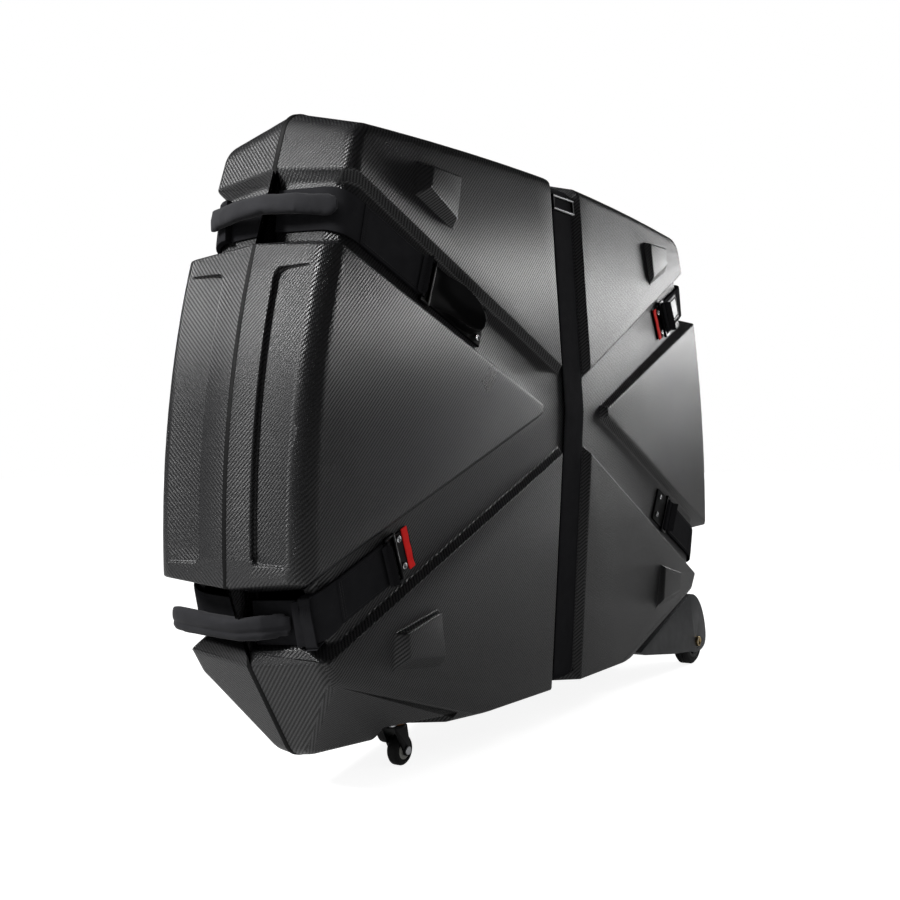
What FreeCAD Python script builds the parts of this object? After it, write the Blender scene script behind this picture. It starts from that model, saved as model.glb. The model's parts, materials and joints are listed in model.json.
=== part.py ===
import FreeCAD, Part
import math
import os
import re
from FreeCAD import Placement, Rotation, Vector

# Bike travel case: two half shells that meet on the plane y = 0, near half at -Y, far half at +Y.
# Heights named *_z are measured from the centre of the cross of channels on the side.

SIZES = {
    "centre_height": 462.0,
    "shell_wall": 3.2,
    "seam_gap": 5.0,
    "seal_step": 1.2,
    "seal_width": 8.0,
    "seal_clear": 0.3,
    "crown_depth": 144.0,
    "panel_relief": 12.0,
    "wall_run": 7.0,
    "mid_slope": 3.0,
    "top_end_slope": 2.3,
    "top_edge_slope": 3.4,
    "low_end_slope": 1.95,
    "low_edge_slope": 3.8,
    "mid_apex_x": 104.0,
    "mid_edge_angle": 21.8,
    "mid_edge_offset": 36.0,
    "panel_edge_angle": 24.6,
    "panel_edge_offset": 42.0,
    "strap_channel_half": 46.0,
    "half_length": 599.0,
    "mid_top_setback": 55.0,
    "mid_top_z": 184.0,
    "mid_low_z": -210.0,
    "mid_end_bulge": 18.0,
    "mid_end_fall": 10.0,
    "mid_end_sweep": 4.0,
    "end_wall_run": 4.0,
    "end_wall_drop": 20.0,
    "ridge_depth": 110.0,
    "cap_ridge_setback": 91.0,
    "cap_ridge_z": 279.0,
    "cap_ridge_sweep": 8.0,
    "cap_ridge_fall": 13.0,
    "cap_face_lean": 18.0,
    "cap_under_lean": 24.0,
    "top_z": 369.0,
    "top_arch_radius": 7200.0,
    "top_side_slope": 15.0,
    "low_ridge_setback": 37.0,
    "low_ridge_z": -303.0,
    "low_ridge_sweep": 8.0,
    "low_ridge_rise": 11.0,
    "low_lip_height": 18.0,
    "low_lip_lean": 2.0,
    "low_lip_run": 8.6,
    "low_face_lean": 31.7,
    "bottom_z": -422.0,
    "bottom_side_slope": 7.6,
    "chamfer_setback": 80.0,
    "chamfer_depth": 105.0,
    "chamfer_z": -319.0,
    "chamfer_yaw": 16.6,
    "chamfer_pitch": 41.7,
    "end_floor_setback": 61.0,
    "end_floor_lean": 8.6,
    "low_floor_setback": 47.0,
    "low_floor_z": -245.0,
    "wheel_cut_setback": 57.0,
    "wheel_cut_z": -328.0,
    "wheel_cut_angle": 18.7,
    "end_corner_radius": 30.0,
    "cap_top_radius": 40.0,
    "cap_side_radius": 20.0,
    "low_side_radius": 20.0,
    "low_bottom_radius": 30.0,
    "strap_corner_radius": 28.0,
    "recess_depth": 7.0,
    "recess_inner": 40.0,
    "recess_outer": 100.0,
    "recess_low_z": -182.0,
    "recess_high_z": 151.0,
    "recess_corner": 10.0,
    "boss_height": 12.0,
    "boss_steep_run": 3.0,
    "boss_long_run": 14.0,
    "top_boss_setback": 227.0,
    "top_boss_z": 297.0,
    "top_boss_length": 84.0,
    "top_boss_tilt": 2.0,
    "top_boss_foot": 69.0,
    "top_boss_drop": 73.0,
    "top_boss_flare": 8.0,
    "top_boss_end_drop": 42.0,
    "low_boss_setback": 169.0,
    "low_boss_z": -274.0,
    "low_boss_length": 86.0,
    "low_boss_rise": 19.0,
    "low_boss_foot": 99.0,
    "low_boss_drop": 54.0,
    "low_boss_end_drop": 45.0,
    "rear_boss_step": 16.0,
    "rear_boss_fall": 4.0,
    "near_pocket_setback": 259.0,
    "far_pocket_setback": 349.0,
    "pocket_half": 55.0,
    "pocket_inner": 12.0,
    "pocket_outer": 110.0,
    "pocket_roof_z": -398.0,
    "foam_clear": 0.3,
    "foam_thick": 15.0,
    "foam_setback": 169.0,
    "foam_low_z": -300.0,
    "foam_high_z": 280.0,
    "post_radius": 20.0,
    "strap_width": 52.0,
    "strap_thick": 2.6,
    "strap_clear": 0.6,
    "band_rise": 6.0,
    "top_band_z": 221.0,
    "low_band_z": -247.0,
    "top_anchor_setback": 239.0,
    "low_anchor_setback": 194.0,
    "top_release_setback": 194.0,
    "low_release_setback": 162.0,
    "leg_padding": 9.0,
    "hinge_gap": 1.0,
    "handle_anchor_reach": 76.0,
    "handle_release_reach": 62.0,
    "handle_height": 30.0,
    "handle_thick": 16.0,
    "handle_gap": 13.0,
    "handle_tab": 6.0,
    "top_handle_shift": 12.0,
    "low_handle_shift": -6.0,
    "ring_length": 20.0,
    "ring_width": 64.0,
    "ring_bar": 4.0,
    "hook_length": 46.0,
    "hook_width": 50.0,
    "hook_thick": 2.0,
    "hook_start": 4.0,
    "hook_post": 5.0,
    "hook_post_width": 36.0,
    "hook_post_height": 3.5,
    "hook_screw": 28.0,
    "tab_start": 36.0,
    "tab_length": 11.0,
    "tab_width": 54.0,
    "tab_thick": 2.5,
    "cup_length": 136.0,
    "cup_width": 56.0,
    "cup_base": 3.0,
    "cup_crown": 15.0,
    "cup_scoop": 26.0,
    "plate_length": 46.0,
    "plate_width": 56.0,
    "plate_thick": 3.0,
    "screw_radius": 4.2,
    "screw_height": 2.6,
    "slider_z": 307.0,
    "slider_length": 24.0,
    "slider_width": 66.0,
    "slider_bar": 4.5,
    "slider_thick": 3.0,
    "centre_strap_width": 58.0,
    "centre_bend": 14.0,
    "clip_length": 7.0,
    "clip_thick": 4.0,
    "clip_clear": 0.5,
    "housing_top_depth": 97.0,
    "tyre_round": 8.0,
    "wheel_radius": 43.0,
    "wheel_width": 26.0,
    "wheel_setback": 45.0,
    "wheel_middle": 84.0,
    "wheel_clear": 1.5,
    "arch_clear": 4.0,
    "cheek_thick": 5.5,
    "hub_radius": 31.0,
    "hub_hole_radius": 5.5,
    "hub_hole_circle": 20.0,
    "axle_radius": 5.0,
    "running_clear": 0.05,
    "bolt_head_radius": 9.0,
    "bolt_head_height": 5.0,
    "caster_middle": 42.0,
    "caster_trail": 14.0,
    "caster_wheel_radius": 20.0,
    "caster_wheel_width": 17.0,
    "caster_plate_length": 64.0,
    "caster_plate_width": 48.0,
    "caster_plate_thick": 3.0,
    "bearing_radius": 16.0,
    "bearing_height": 5.0,
    "bearing_clear": 0.4,
    "kingpin_radius": 4.0,
    "pin_clear": 0.5,
    "fork_radius": 17.0,
    "fork_thick": 3.0,
    "fork_foot": 7.0,
    "fork_clear": 1.0,
    "caster_axle_radius": 3.0,
    "caster_axle_head": 5.5,
    "caster_axle_head_height": 2.0,
}

REACH = 2000.0
PAD_STEPS = 7

doc = FreeCAD.newDocument("bike_case")
sheet = doc.addObject("Spreadsheet::Sheet", "Sizes")
for row, (name, value) in enumerate(SIZES.items(), 1):
    sheet.set("A%d" % row, name)
    sheet.set("B%d" % row, str(value))
    sheet.setAlias("B%d" % row, name)
doc.recompute()


def size(name):
    return float(sheet.get(name))


def tan_of(name):
    return math.tan(math.radians(size(name)))


def turned(vector, flip_x=1, flip_y=1):
    return Vector(vector.x * flip_x, vector.y * flip_y, vector.z)


# Faces of the case are half-spaces: a point with an outward normal, or a cylinder kept inside.


def flat(point, normal):
    return ("flat", Vector(point), Vector(normal).normalize())


def rounded(point, axis, radius):
    return ("rounded", Vector(point), Vector(axis).normalize(), radius)


def through(first, second, third, outward):
    normal = (second - first).cross(third - first)
    if normal.dot(outward) < 0:
        normal = normal * -1
    return flat(first, normal)


def moved_in(face, depth):
    if face[0] == "flat":
        return flat(face[1] - face[2] * depth, face[2])
    return rounded(face[1], face[2], face[3] - depth)


def swapped(face):
    return (face[0], turned(face[1], -1), turned(face[2], -1)) + tuple(face[3:])


def kept_side(face):
    if face[0] == "flat":
        box = Part.makeBox(REACH, REACH, REACH, Vector(-REACH / 2, -REACH / 2, -REACH))
        box.Placement = Placement(face[1], Rotation(Vector(0, 0, 1), face[2]))
        return box
    return Part.makeCylinder(face[3], REACH, face[1] - face[2] * REACH / 2, face[2])


def distance_to(face, point):
    offset = point - face[1]
    if face[0] == "flat":
        return offset.dot(face[2])
    return (offset - face[2] * offset.dot(face[2])).Length - face[3]


def faceted(faces, depth=0.0):
    shape = Part.makeBox(REACH, REACH / 2, REACH, Vector(-REACH / 2, -REACH / 4, -REACH / 2))
    for face in faces:
        shape = shape.common(kept_side(moved_in(face, depth)))
    return shape


def softened(shape, rounds, depth):
    for radius, first, second in rounds:
        near_first = moved_in(first, depth)
        near_second = moved_in(second, depth)
        edges = []
        for edge in shape.Edges:
            middle = edge.valueAt((edge.FirstParameter + edge.LastParameter) / 2)
            if max(abs(distance_to(near_first, middle)), abs(distance_to(near_second, middle))) < 0.01:
                edges.append(edge)
        if edges and radius > depth + 0.5:
            shape = shape.makeFillet(radius - depth, edges)
    return shape


# Side panels, for the right half of the near side.


def panel(end_slope, edge_slope=None, up=0):
    edge = tan_of(edge_slope) if edge_slope else 0.0
    return flat((0, -size("crown_depth"), 0), (tan_of(end_slope), -1, up * edge))


def on_panel(face, x, z):
    point, normal = face[1], face[2]
    y = point.y - (normal.x * (x - point.x) + normal.z * (z - point.z)) / normal.y
    return Vector(x, y, z)


def side_wall(face, start, along, outward):
    first = on_panel(face, start[0], start[1])
    second = on_panel(face, start[0] + 100 * along[0], start[1] + 100 * along[1])
    run = size("wall_run")
    third = first + Vector(outward[0] * run, size("panel_relief"), outward[1] * run)
    return through(first, second, third, Vector(outward[0], 0, outward[1]))


mid_side = panel("mid_slope")
top_side = panel("top_end_slope", "top_edge_slope", 1)
low_side = panel("low_end_slope", "low_edge_slope", -1)

mid_angle = math.radians(size("mid_edge_angle"))
mid_cos, mid_sin = math.cos(mid_angle), math.sin(mid_angle)
panel_angle = math.radians(size("panel_edge_angle"))
pan_cos, pan_sin = math.cos(panel_angle), math.sin(panel_angle)
mid_start, panel_start = size("mid_edge_offset"), size("panel_edge_offset")
strap_half = size("strap_channel_half")
relief, run = size("panel_relief"), size("wall_run")

mid_up = side_wall(mid_side, (0, -mid_start), (mid_cos, mid_sin), (-mid_sin, mid_cos))
mid_down = side_wall(mid_side, (0, mid_start), (mid_cos, -mid_sin), (-mid_sin, -mid_cos))
mid_apex = side_wall(mid_side, (size("mid_apex_x"), 0), (0, 1), (-1, 0))
top_wall = side_wall(top_side, (0, panel_start), (pan_cos, pan_sin), (pan_sin, -pan_cos))
low_wall = side_wall(low_side, (0, -panel_start), (pan_cos, -pan_sin), (pan_sin, pan_cos))
top_strap_wall = side_wall(top_side, (strap_half, 0), (0, 1), (-1, 0))
low_strap_wall = side_wall(low_side, (strap_half, 0), (0, 1), (-1, 0))
slope, rake = math.radians(size("top_side_slope")), math.radians(size("bottom_side_slope"))
over_wall = flat((strap_half, 0, size("top_z")), (-relief, -run * math.sin(slope), run * math.cos(slope)))
under_wall = flat((strap_half, 0, size("bottom_z")), (-relief, -run * math.sin(rake), -run * math.cos(rake)))

# Ends, top and bottom.

wall = size("shell_wall")
half_length = size("half_length")
ridge = size("ridge_depth")
drop = Vector(-size("end_wall_drop"), 0, 0)

mid_high = Vector(half_length - size("mid_top_setback"), 0, size("mid_top_z"))
mid_low = Vector(half_length, 0, size("mid_low_z"))
chord = mid_high - mid_low
bulge = size("mid_end_bulge")
bulge_radius = (chord.Length ** 2 / 4 + bulge ** 2) / (2 * bulge)
bulge_out = Vector(chord.z, 0, -chord.x).normalize()
bulge_centre = (mid_high + mid_low) * 0.5 + bulge_out * (bulge - bulge_radius)
mid_end = rounded(bulge_centre, (0, 1, 0), bulge_radius)


def mid_end_wall(start, up):
    along = Vector(-size("mid_end_sweep"), -ridge, -up * size("mid_end_fall"))
    inward = drop + Vector(0, 0, up * size("end_wall_run"))
    return through(start, start + along, start + inward, Vector(0, 0, up))


mid_high_wall = mid_end_wall(mid_high, 1)
mid_low_wall = mid_end_wall(mid_low, -1)

cap_start = Vector(half_length - size("cap_ridge_setback"), 0, size("cap_ridge_z"))
cap_next = cap_start + Vector(-size("cap_ridge_sweep"), -ridge, -size("cap_ridge_fall"))
outward = Vector(1, 0, 0)
cap_face = through(cap_start, cap_next, cap_start + Vector(-tan_of("cap_face_lean"), 0, 1), outward)
cap_under = through(cap_start, cap_next, cap_start + Vector(-tan_of("cap_under_lean"), 0, -1), outward)
arch = size("top_arch_radius")
arch_centre = Vector(0, math.sin(slope) * arch, size("top_z") - math.cos(slope) * arch)
top_face = rounded(arch_centre, (0, -math.cos(slope), -math.sin(slope)), arch)

low_start = Vector(half_length - size("low_ridge_setback"), 0, size("low_ridge_z"))
low_along = Vector(-size("low_ridge_sweep"), -ridge, size("low_ridge_rise"))
lip_top = low_start + Vector(-tan_of("low_lip_lean"), 0, 1) * size("low_lip_height")
lip_in = lip_top + drop + Vector(0, 0, size("low_lip_run"))
low_lip = through(low_start, low_start + low_along, lip_top, outward)
low_lip_wall = through(lip_top, lip_top + low_along, lip_in, Vector(0, 0, 1))
slant_end = low_start + Vector(-tan_of("low_face_lean"), 0, -1)
low_face = through(low_start, low_start + low_along, slant_end, outward)
bottom_face = flat((0, 0, size("bottom_z")), (0, -math.sin(rake), -math.cos(rake)))
yaw, pitch = math.radians(size("chamfer_yaw")), math.radians(size("chamfer_pitch"))
chamfer = flat(
    (half_length - size("chamfer_setback"), -size("chamfer_depth"), size("chamfer_z")),
    (math.cos(pitch) * math.sin(yaw), -math.cos(pitch) * math.cos(yaw), -math.sin(pitch)),
)
cut_angle = math.radians(size("wheel_cut_angle"))
cut_point = Vector(half_length - size("wheel_cut_setback"), 0, size("wheel_cut_z"))
wheel_cut = flat(cut_point, (math.sin(cut_angle), 0, -math.cos(cut_angle)))
lean = math.radians(size("end_floor_lean"))
end_floor = flat((half_length - size("end_floor_setback"), 0, 0), (math.cos(lean), 0, math.sin(lean)))
low_floor = flat(
    (half_length - size("low_floor_setback"), 0, size("low_floor_z")),
    (math.cos(lean), 0, -math.sin(lean)),
)
top_floor_side = moved_in(top_side, relief)
low_floor_side = moved_in(low_side, relief)


def meeting(first, second, third):
    a, b, c = first[2], second[2], third[2]
    rows = FreeCAD.Matrix(a.x, a.y, a.z, 0, b.x, b.y, b.z, 0, c.x, c.y, c.z, 0, 0, 0, 0, 1)
    return rows.inverse().multVec(Vector(a.dot(first[1]), b.dot(second[1]), c.dot(third[1])))


def corner_facets(first, second, radius):
    a, b = first[2], second[2]
    level = flat((0, 0, 0), a.cross(b))
    centre = meeting(first, second, level) - (a + b) * (radius / (1 + a.dot(b)))
    middle = (a + b).normalize()
    shoulder = centre + middle * radius
    return [flat(shoulder, a + middle), flat(shoulder, b + middle)]


mid_faces = [mid_side, mid_end, mid_up, mid_down, mid_apex, mid_high_wall, mid_low_wall]
top_faces = [top_side, top_wall, top_strap_wall, over_wall, top_face, cap_face, cap_under]
low_faces = [low_side, low_wall, low_strap_wall, under_wall, bottom_face]
low_faces += [low_lip, low_lip_wall, low_face, chamfer]
base_pairs = [moved_in(face, relief) for face in (mid_side, top_side, low_side, cap_face, low_face, chamfer)]
base_pairs += [end_floor, low_floor]
strap_corner = size("strap_corner_radius")
base_pairs += corner_facets(top_floor_side, end_floor, strap_corner)
base_pairs += corner_facets(low_floor_side, low_floor, strap_corner)
over_floor = flat((0, 0, size("top_z")), (0, -math.sin(slope), math.cos(slope)))
over_floor = moved_in(over_floor, relief)
under_floor = moved_in(bottom_face, relief)
base_pairs += corner_facets(top_floor_side, over_floor, size("centre_bend"))
base_pairs += corner_facets(low_floor_side, under_floor, size("centre_bend"))
base_faces = base_pairs + [swapped(face) for face in base_pairs]
base_faces += [moved_in(top_face, relief), moved_in(bottom_face, relief), wheel_cut]

mid_rounds = [(size("end_corner_radius"), mid_side, mid_end)]
top_rounds = [(size("cap_top_radius"), cap_face, top_face), (size("cap_side_radius"), top_side, cap_face)]
low_rounds = [(size("low_bottom_radius"), low_face, bottom_face)]
low_rounds += [(size("low_side_radius"), low_side, low_face), (size("low_side_radius"), chamfer, low_face)]

# Each boss is four corners on a panel and a level top; its two far walls run in further than the others.

top_boss = [(0.0, 0.0), (-size("top_boss_length"), -size("top_boss_tilt"))]
top_boss.append((-size("top_boss_foot"), -size("top_boss_drop")))
top_boss.append((size("top_boss_flare"), -size("top_boss_end_drop")))
low_boss = [(0.0, 0.0), (-size("low_boss_length"), size("low_boss_rise"))]
low_boss += [(-size("low_boss_foot"), -size("low_boss_drop")), (0.0, -size("low_boss_end_drop"))]


def boss_outline(offsets, setback, height, step=0.0, fall=0.0):
    start_x, start_z = half_length - size(setback) + step, size(height) - fall
    return [(start_x + x, start_z + z) for x, z in offsets]


rear_step, rear_fall = size("rear_boss_step"), size("rear_boss_fall")
boss_corners = [
    (top_side, -1, boss_outline(top_boss, "top_boss_setback", "top_boss_z")),
    (top_side, 1, boss_outline(top_boss, "top_boss_setback", "top_boss_z", rear_step)),
    (low_side, -1, boss_outline(low_boss, "low_boss_setback", "low_boss_z")),
    (low_side, 1, boss_outline(low_boss, "low_boss_setback", "low_boss_z", rear_step, rear_fall)),
]
boss_runs = ("boss_steep_run", "boss_steep_run", "boss_long_run", "boss_long_run")


def boss_faces(face, side, corners):
    points = [on_panel(face, x, z) for x, z in corners]
    middle = (points[0] + points[1] + points[2] + points[3]) * 0.25
    top_y = middle.y - size("boss_height")
    faces = [flat((0, top_y, 0), (0, -1, 0))]
    for index in range(4):
        first, second = points[index], points[(index + 1) % 4]
        centre = (first + second) * 0.5
        out = centre - middle
        out = (out - (second - first) * (out.dot(second - first) / (second - first).Length ** 2)).normalize()
        inner = centre - out * size(boss_runs[index])
        faces.append(through(first, second, Vector(inner.x, top_y, inner.z), out))
    if side < 0:
        faces = [swapped(item) for item in faces]
    return faces


def case_body(depth, limits, bosses=False):
    def block(faces, rounds):
        shape = softened(faceted(faces, depth), rounds, depth)
        for limit in limits:
            shape = shape.common(kept_side(limit))
        return shape

    mid_block = block(mid_faces, mid_rounds)
    top_block = block(top_faces, top_rounds)
    low_block = block(low_faces, low_rounds)
    others = [mid_block, top_block, low_block.common(kept_side(moved_in(wheel_cut, depth)))]
    for shape in (mid_block, top_block, low_block):
        others.append(shape.mirror(Vector(0, 0, 0), Vector(1, 0, 0)))
    if bosses:
        for face, side, corners in boss_corners:
            root = moved_in(face, depth + wall / 2)
            root = flat(root[1], root[2] * -1)
            if side < 0:
                root = swapped(root)
            others.append(faceted(boss_faces(face, side, corners), depth).common(kept_side(root)))
    return block(base_faces, []).fuse(others)


def end_recess(grow):
    inner, outer = size("recess_inner") - grow, size("recess_outer") + 10
    low, high = size("recess_low_z") - grow, size("recess_high_z") + grow
    window = Part.makeBox(REACH / 4, outer - inner, high - low, Vector(half_length - 120, -outer, low))
    corner = []
    for edge in window.Edges:
        box = edge.BoundBox
        if box.YLength < 0.01 and box.ZLength < 0.01 and box.YMin > -inner - 1:
            corner.append(edge)
    window = window.makeFillet(size("recess_corner"), corner)
    spread = size("recess_outer") - size("recess_inner")
    tilt = math.atan2(size("recess_depth"), spread)
    start = bulge_centre + Vector(0, -size("recess_outer"), 0)
    floor = rounded(start, (-math.sin(tilt), math.cos(tilt), 0), bulge_radius * math.cos(tilt))
    return window.cut(kept_side(moved_in(floor, grow)))


def caster_pocket(grow, x):
    half = size("pocket_half") + grow
    inner, outer = size("pocket_inner") - grow, size("pocket_outer") + grow
    roof = size("pocket_roof_z") + grow
    corner = Vector(x - half, -outer, roof - 100)
    return Part.makeBox(2 * half, outer - inner, 100, corner)


seam = size("seam_gap") / 2
outside = case_body(0.0, [flat((0, -seam, 0), (0, 1, 0))], True)
inside = case_body(wall, [flat((0, seam, 0), (0, 1, 0))], True)
recess, deep_recess = end_recess(0.0), end_recess(wall)
outside = outside.cut([recess, recess.mirror(Vector(0, 0, 0), Vector(1, 0, 0))])
inside = inside.cut([deep_recess, deep_recess.mirror(Vector(0, 0, 0), Vector(1, 0, 0))])


def half_shell(pocket_x):
    skin = outside.cut(caster_pocket(0.0, pocket_x)).removeSplitter()
    hollow = inside.cut(caster_pocket(wall, pocket_x)).removeSplitter()
    return skin.cut(hollow).removeSplitter()


nodes = []


def feature(label, shape, lift=True):
    item = doc.addObject("Part::Feature", label)
    item.Shape = shape
    if lift:
        item.Placement = Placement(Vector(0, 0, size("centre_height")), Rotation())
    nodes.append(item)
    return item


def across(shape):
    return shape.mirror(Vector(0, 0, 0), Vector(0, 1, 0))


pocket_x = {half: size(half + "_pocket_setback") - half_length for half in ("near", "far")}
feature("near_shell", half_shell(pocket_x["near"]))
feature("far_shell", across(half_shell(pocket_x["far"])))

seal_limits = [flat((0, seam - size("seal_clear"), 0), (0, 1, 0)), flat((0, -seam, 0), (0, -1, 0))]
seal_outer = case_body(size("seal_step"), seal_limits)
seal_inner = case_body(size("seal_step") + size("seal_width"), seal_limits)
feature("rim_seal", seal_outer.cut(seal_inner).removeSplitter())

foam_out = wall + size("foam_clear")
foam_half = half_length - size("foam_setback")
foam_corner = Vector(-foam_half, -size("crown_depth"), size("foam_low_z"))
foam_rise = size("foam_high_z") - size("foam_low_z")
foam_window = Part.makeBox(2 * foam_half, size("crown_depth"), foam_rise, foam_corner)
foam_sides = base_faces[:3] + [swapped(face) for face in base_faces[:3]]
pad = foam_window.common(faceted(foam_sides, foam_out))
pad = pad.cut(faceted(foam_sides, foam_out + size("foam_thick")))
feature("near_foam", pad)
feature("far_foam", across(pad))


def bound(kind, label, place, sizes, node=False):
    item = doc.addObject(kind, label)
    for name, text in sizes.items():
        item.setExpression(name, re.sub(r"[a-z_]{3,}", lambda match: "Sizes." + match.group(0), text))
    item.Placement = place
    if node:
        nodes.append(item)
    return item


def joined(kind, label, parts, node=True):
    item = doc.addObject(kind, label)
    if kind == "Part::Cut":
        item.Base, item.Tool = parts
    elif kind == "Part::Compound":
        item.Links = parts
    else:
        item.Shapes = parts
    if node:
        nodes.append(item)
    return item


def raised(x, y, z):
    return Vector(x, y, z + size("centre_height"))


along_y = Rotation(Vector(1, 0, 0), -90)
steep = max(math.hypot(face[2].x, face[2].z) / -face[2].y for face in (top_side, low_side, mid_side))
post_end = size("crown_depth") - (relief + foam_out + size("foam_thick")) * math.hypot(1, steep)
post_end -= size("post_radius") * steep + size("foam_clear")
post = doc.addObject("Part::Cylinder", "crush_post")
post.setExpression("Radius", "Sizes.post_radius")
post.Height = 2 * post_end
post.Placement = Placement(raised(0, -post_end, 0), along_y)
nodes.append(post)

# Webbing runs as flat sections: a middle point, the outward normal and the run direction.


def webbing(stations, width, thick, padding=0.0):
    wires = []
    last = len(stations) - 1
    for index, (point, normal, along) in enumerate(stations):
        across_width = normal.cross(along).normalize() * (width / 2)
        inner = point - normal * (thick / 2)
        outer = point + normal * (thick / 2 + padding * max(0.0, 1 - (last - index) / PAD_STEPS))
        corners = [outer + across_width, outer - across_width]
        corners += [inner - across_width, inner + across_width]
        wires.append(Part.makePolygon(corners + corners[:1]))
    return Part.makeLoft(wires, True, True)


def turn(start, normal_a, along_a, end, normal_b, along_b, steps=7):
    pull = (end - start).Length * 0.39
    first, second = start + along_a * pull, end - along_b * pull
    stations = []
    for index in range(1, steps):
        u = index / steps
        point = start * (1 - u) ** 3 + first * (3 * u * (1 - u) ** 2)
        point += second * (3 * u * u * (1 - u)) + end * u ** 3
        along = (first - start) * (1 - u) ** 2 + (second - first) * (2 * u * (1 - u))
        along = (along + (end - second) * u * u).normalize()
        normal = normal_a * (1 - u) + normal_b * u
        normal = (normal - along * normal.dot(along)).normalize()
        stations.append((point, normal, along))
    return stations


def channel(up, x):
    rise = (math.tan(mid_angle) + math.tan(panel_angle)) / 2
    z = up * ((panel_start - mid_start) / 2 + rise * x)
    return on_panel(top_floor_side if up > 0 else low_floor_side, x, z)


class Corner:
    # One strap crossing the end of the case; side -1 is the near side, right +1 is the +X end.
    def __init__(self, right, up, side):
        self.right, self.up, self.side = right, up, side
        self.side_face = top_floor_side if up > 0 else low_floor_side
        self.end_face = end_floor if up > 0 else low_floor
        first, second = channel(up, 0), channel(up, 100)
        self.out = (second - first).normalize()
        normal = self.end_face[2]
        reach = (self.end_face[1] - first).dot(normal) / self.out.dot(normal)
        self.edge = first + self.out * reach
        self.bend = size("strap_corner_radius") * 1.0
        self.lift = size("strap_clear") + size("strap_thick") / 2

    def turned(self, vector):
        return Vector(vector.x * self.right, vector.y * -self.side, vector.z)

    def side_place(self, x, raise_by=0.0):
        normal = self.turned(self.side_face[2])
        inward = self.turned(self.out) * -1
        spot = self.turned(channel(self.up, x)) + normal * raise_by
        spot = raised(spot.x, spot.y, spot.z)
        return Placement(spot, Rotation(inward, normal.cross(inward), normal, "XZY"))

    def end_point(self, y):
        # y is measured outward from the seam; the band rises a little towards the seam
        height = size("top_band_z" if self.up > 0 else "low_band_z")
        height += self.up * size("band_rise") * (1 - abs(y) / self.edge_depth())
        normal = self.end_face[2]
        x = self.end_face[1].x - normal.z / normal.x * (height - self.end_face[1].z)
        return Vector(x, y, height) + normal * self.lift

    def edge_depth(self):
        return abs(self.edge.y)

    def bend_start(self):
        return self.edge - self.out * self.bend + self.side_face[2] * self.lift

    def bend_end(self):
        return self.end_point(-(self.edge_depth() - self.bend))

    def leg(self, x):
        return channel(self.up, x) + self.side_face[2] * self.lift

    def stations(self, x):
        towards = (self.end_point(0) - self.bend_end()).normalize()
        side, end = self.side_face[2], self.end_face[2]
        start, finish = self.bend_start(), self.bend_end()
        run = [(self.leg(x), side, self.out), (start, side, self.out)]
        run += turn(start, side, self.out, finish, end, towards)
        run.append((finish, end, towards))
        return [tuple(self.turned(item) for item in station) for station in run]


def handle_shape(corner, shift):
    tab, gap, thick = size("handle_tab"), size("handle_gap"), size("handle_thick")
    steps = [(0, 0.0, tab, 0.8), (14, 0.0, tab + 2, 0.9)]
    steps += [(30, gap * 0.86, thick * 0.92, 1.0), (50, gap, thick, 1.0)]
    start, finish = -size("handle_anchor_reach"), size("handle_release_reach")
    spots = [(start + step, low, deep, tall) for step, low, deep, tall in steps]
    spots += [(finish - step, low, deep, tall) for step, low, deep, tall in reversed(steps)]
    normal = corner.end_face[2]
    up_way = Vector(-normal.z, 0, normal.x)
    wires = []
    for y, low, deep, tall in spots:
        base = corner.end_point(-abs(y)) + normal * (size("strap_thick") / 2 + low) + up_way * shift
        base = Vector(base.x, y, base.z)
        high = size("handle_height") / 2 * tall
        cut = min(deep, high) * 0.45
        outline = [(0, -high + cut), (0, high - cut), (cut, high), (deep - cut, high)]
        outline += [(deep, high - cut), (deep, -high + cut), (deep - cut, -high), (cut, -high)]
        points = [corner.turned(base + normal * out + up_way * rise) for out, rise in outline]
        wires.append(Part.makePolygon(points + points[:1]))
    return Part.makeLoft(wires, True, True)


def ring_frame(label, place, node):
    outer = bound("Part::Box", label + "_blank", place, {
        "Length": "ring_length", "Width": "ring_width", "Height": "ring_bar"})
    inset = Placement(Vector(size("ring_bar"), size("ring_bar"), -1), Rotation())
    window = bound("Part::Box", label + "_window", place.multiply(inset), {
        "Length": "ring_length - 2 * ring_bar",
        "Width": "ring_width - 2 * ring_bar",
        "Height": "ring_bar + 2",
    })
    return joined("Part::Cut", label, [outer, window], node)


def shifted(place, x, y, z):
    return place.multiply(Placement(Vector(x, y, z), Rotation()))


screws = {"near": [], "far": []}
anchor_rings = {"near": [], "far": []}
tabs = {"near": [], "far": []}


def screw(half, place, name):
    head = bound("Part::Cylinder", name, place, {"Radius": "screw_radius", "Height": "screw_height"})
    screws[half].append(head)


ring_length, ring_width = size("ring_length"), size("ring_width")
clear = size("strap_clear")

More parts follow.
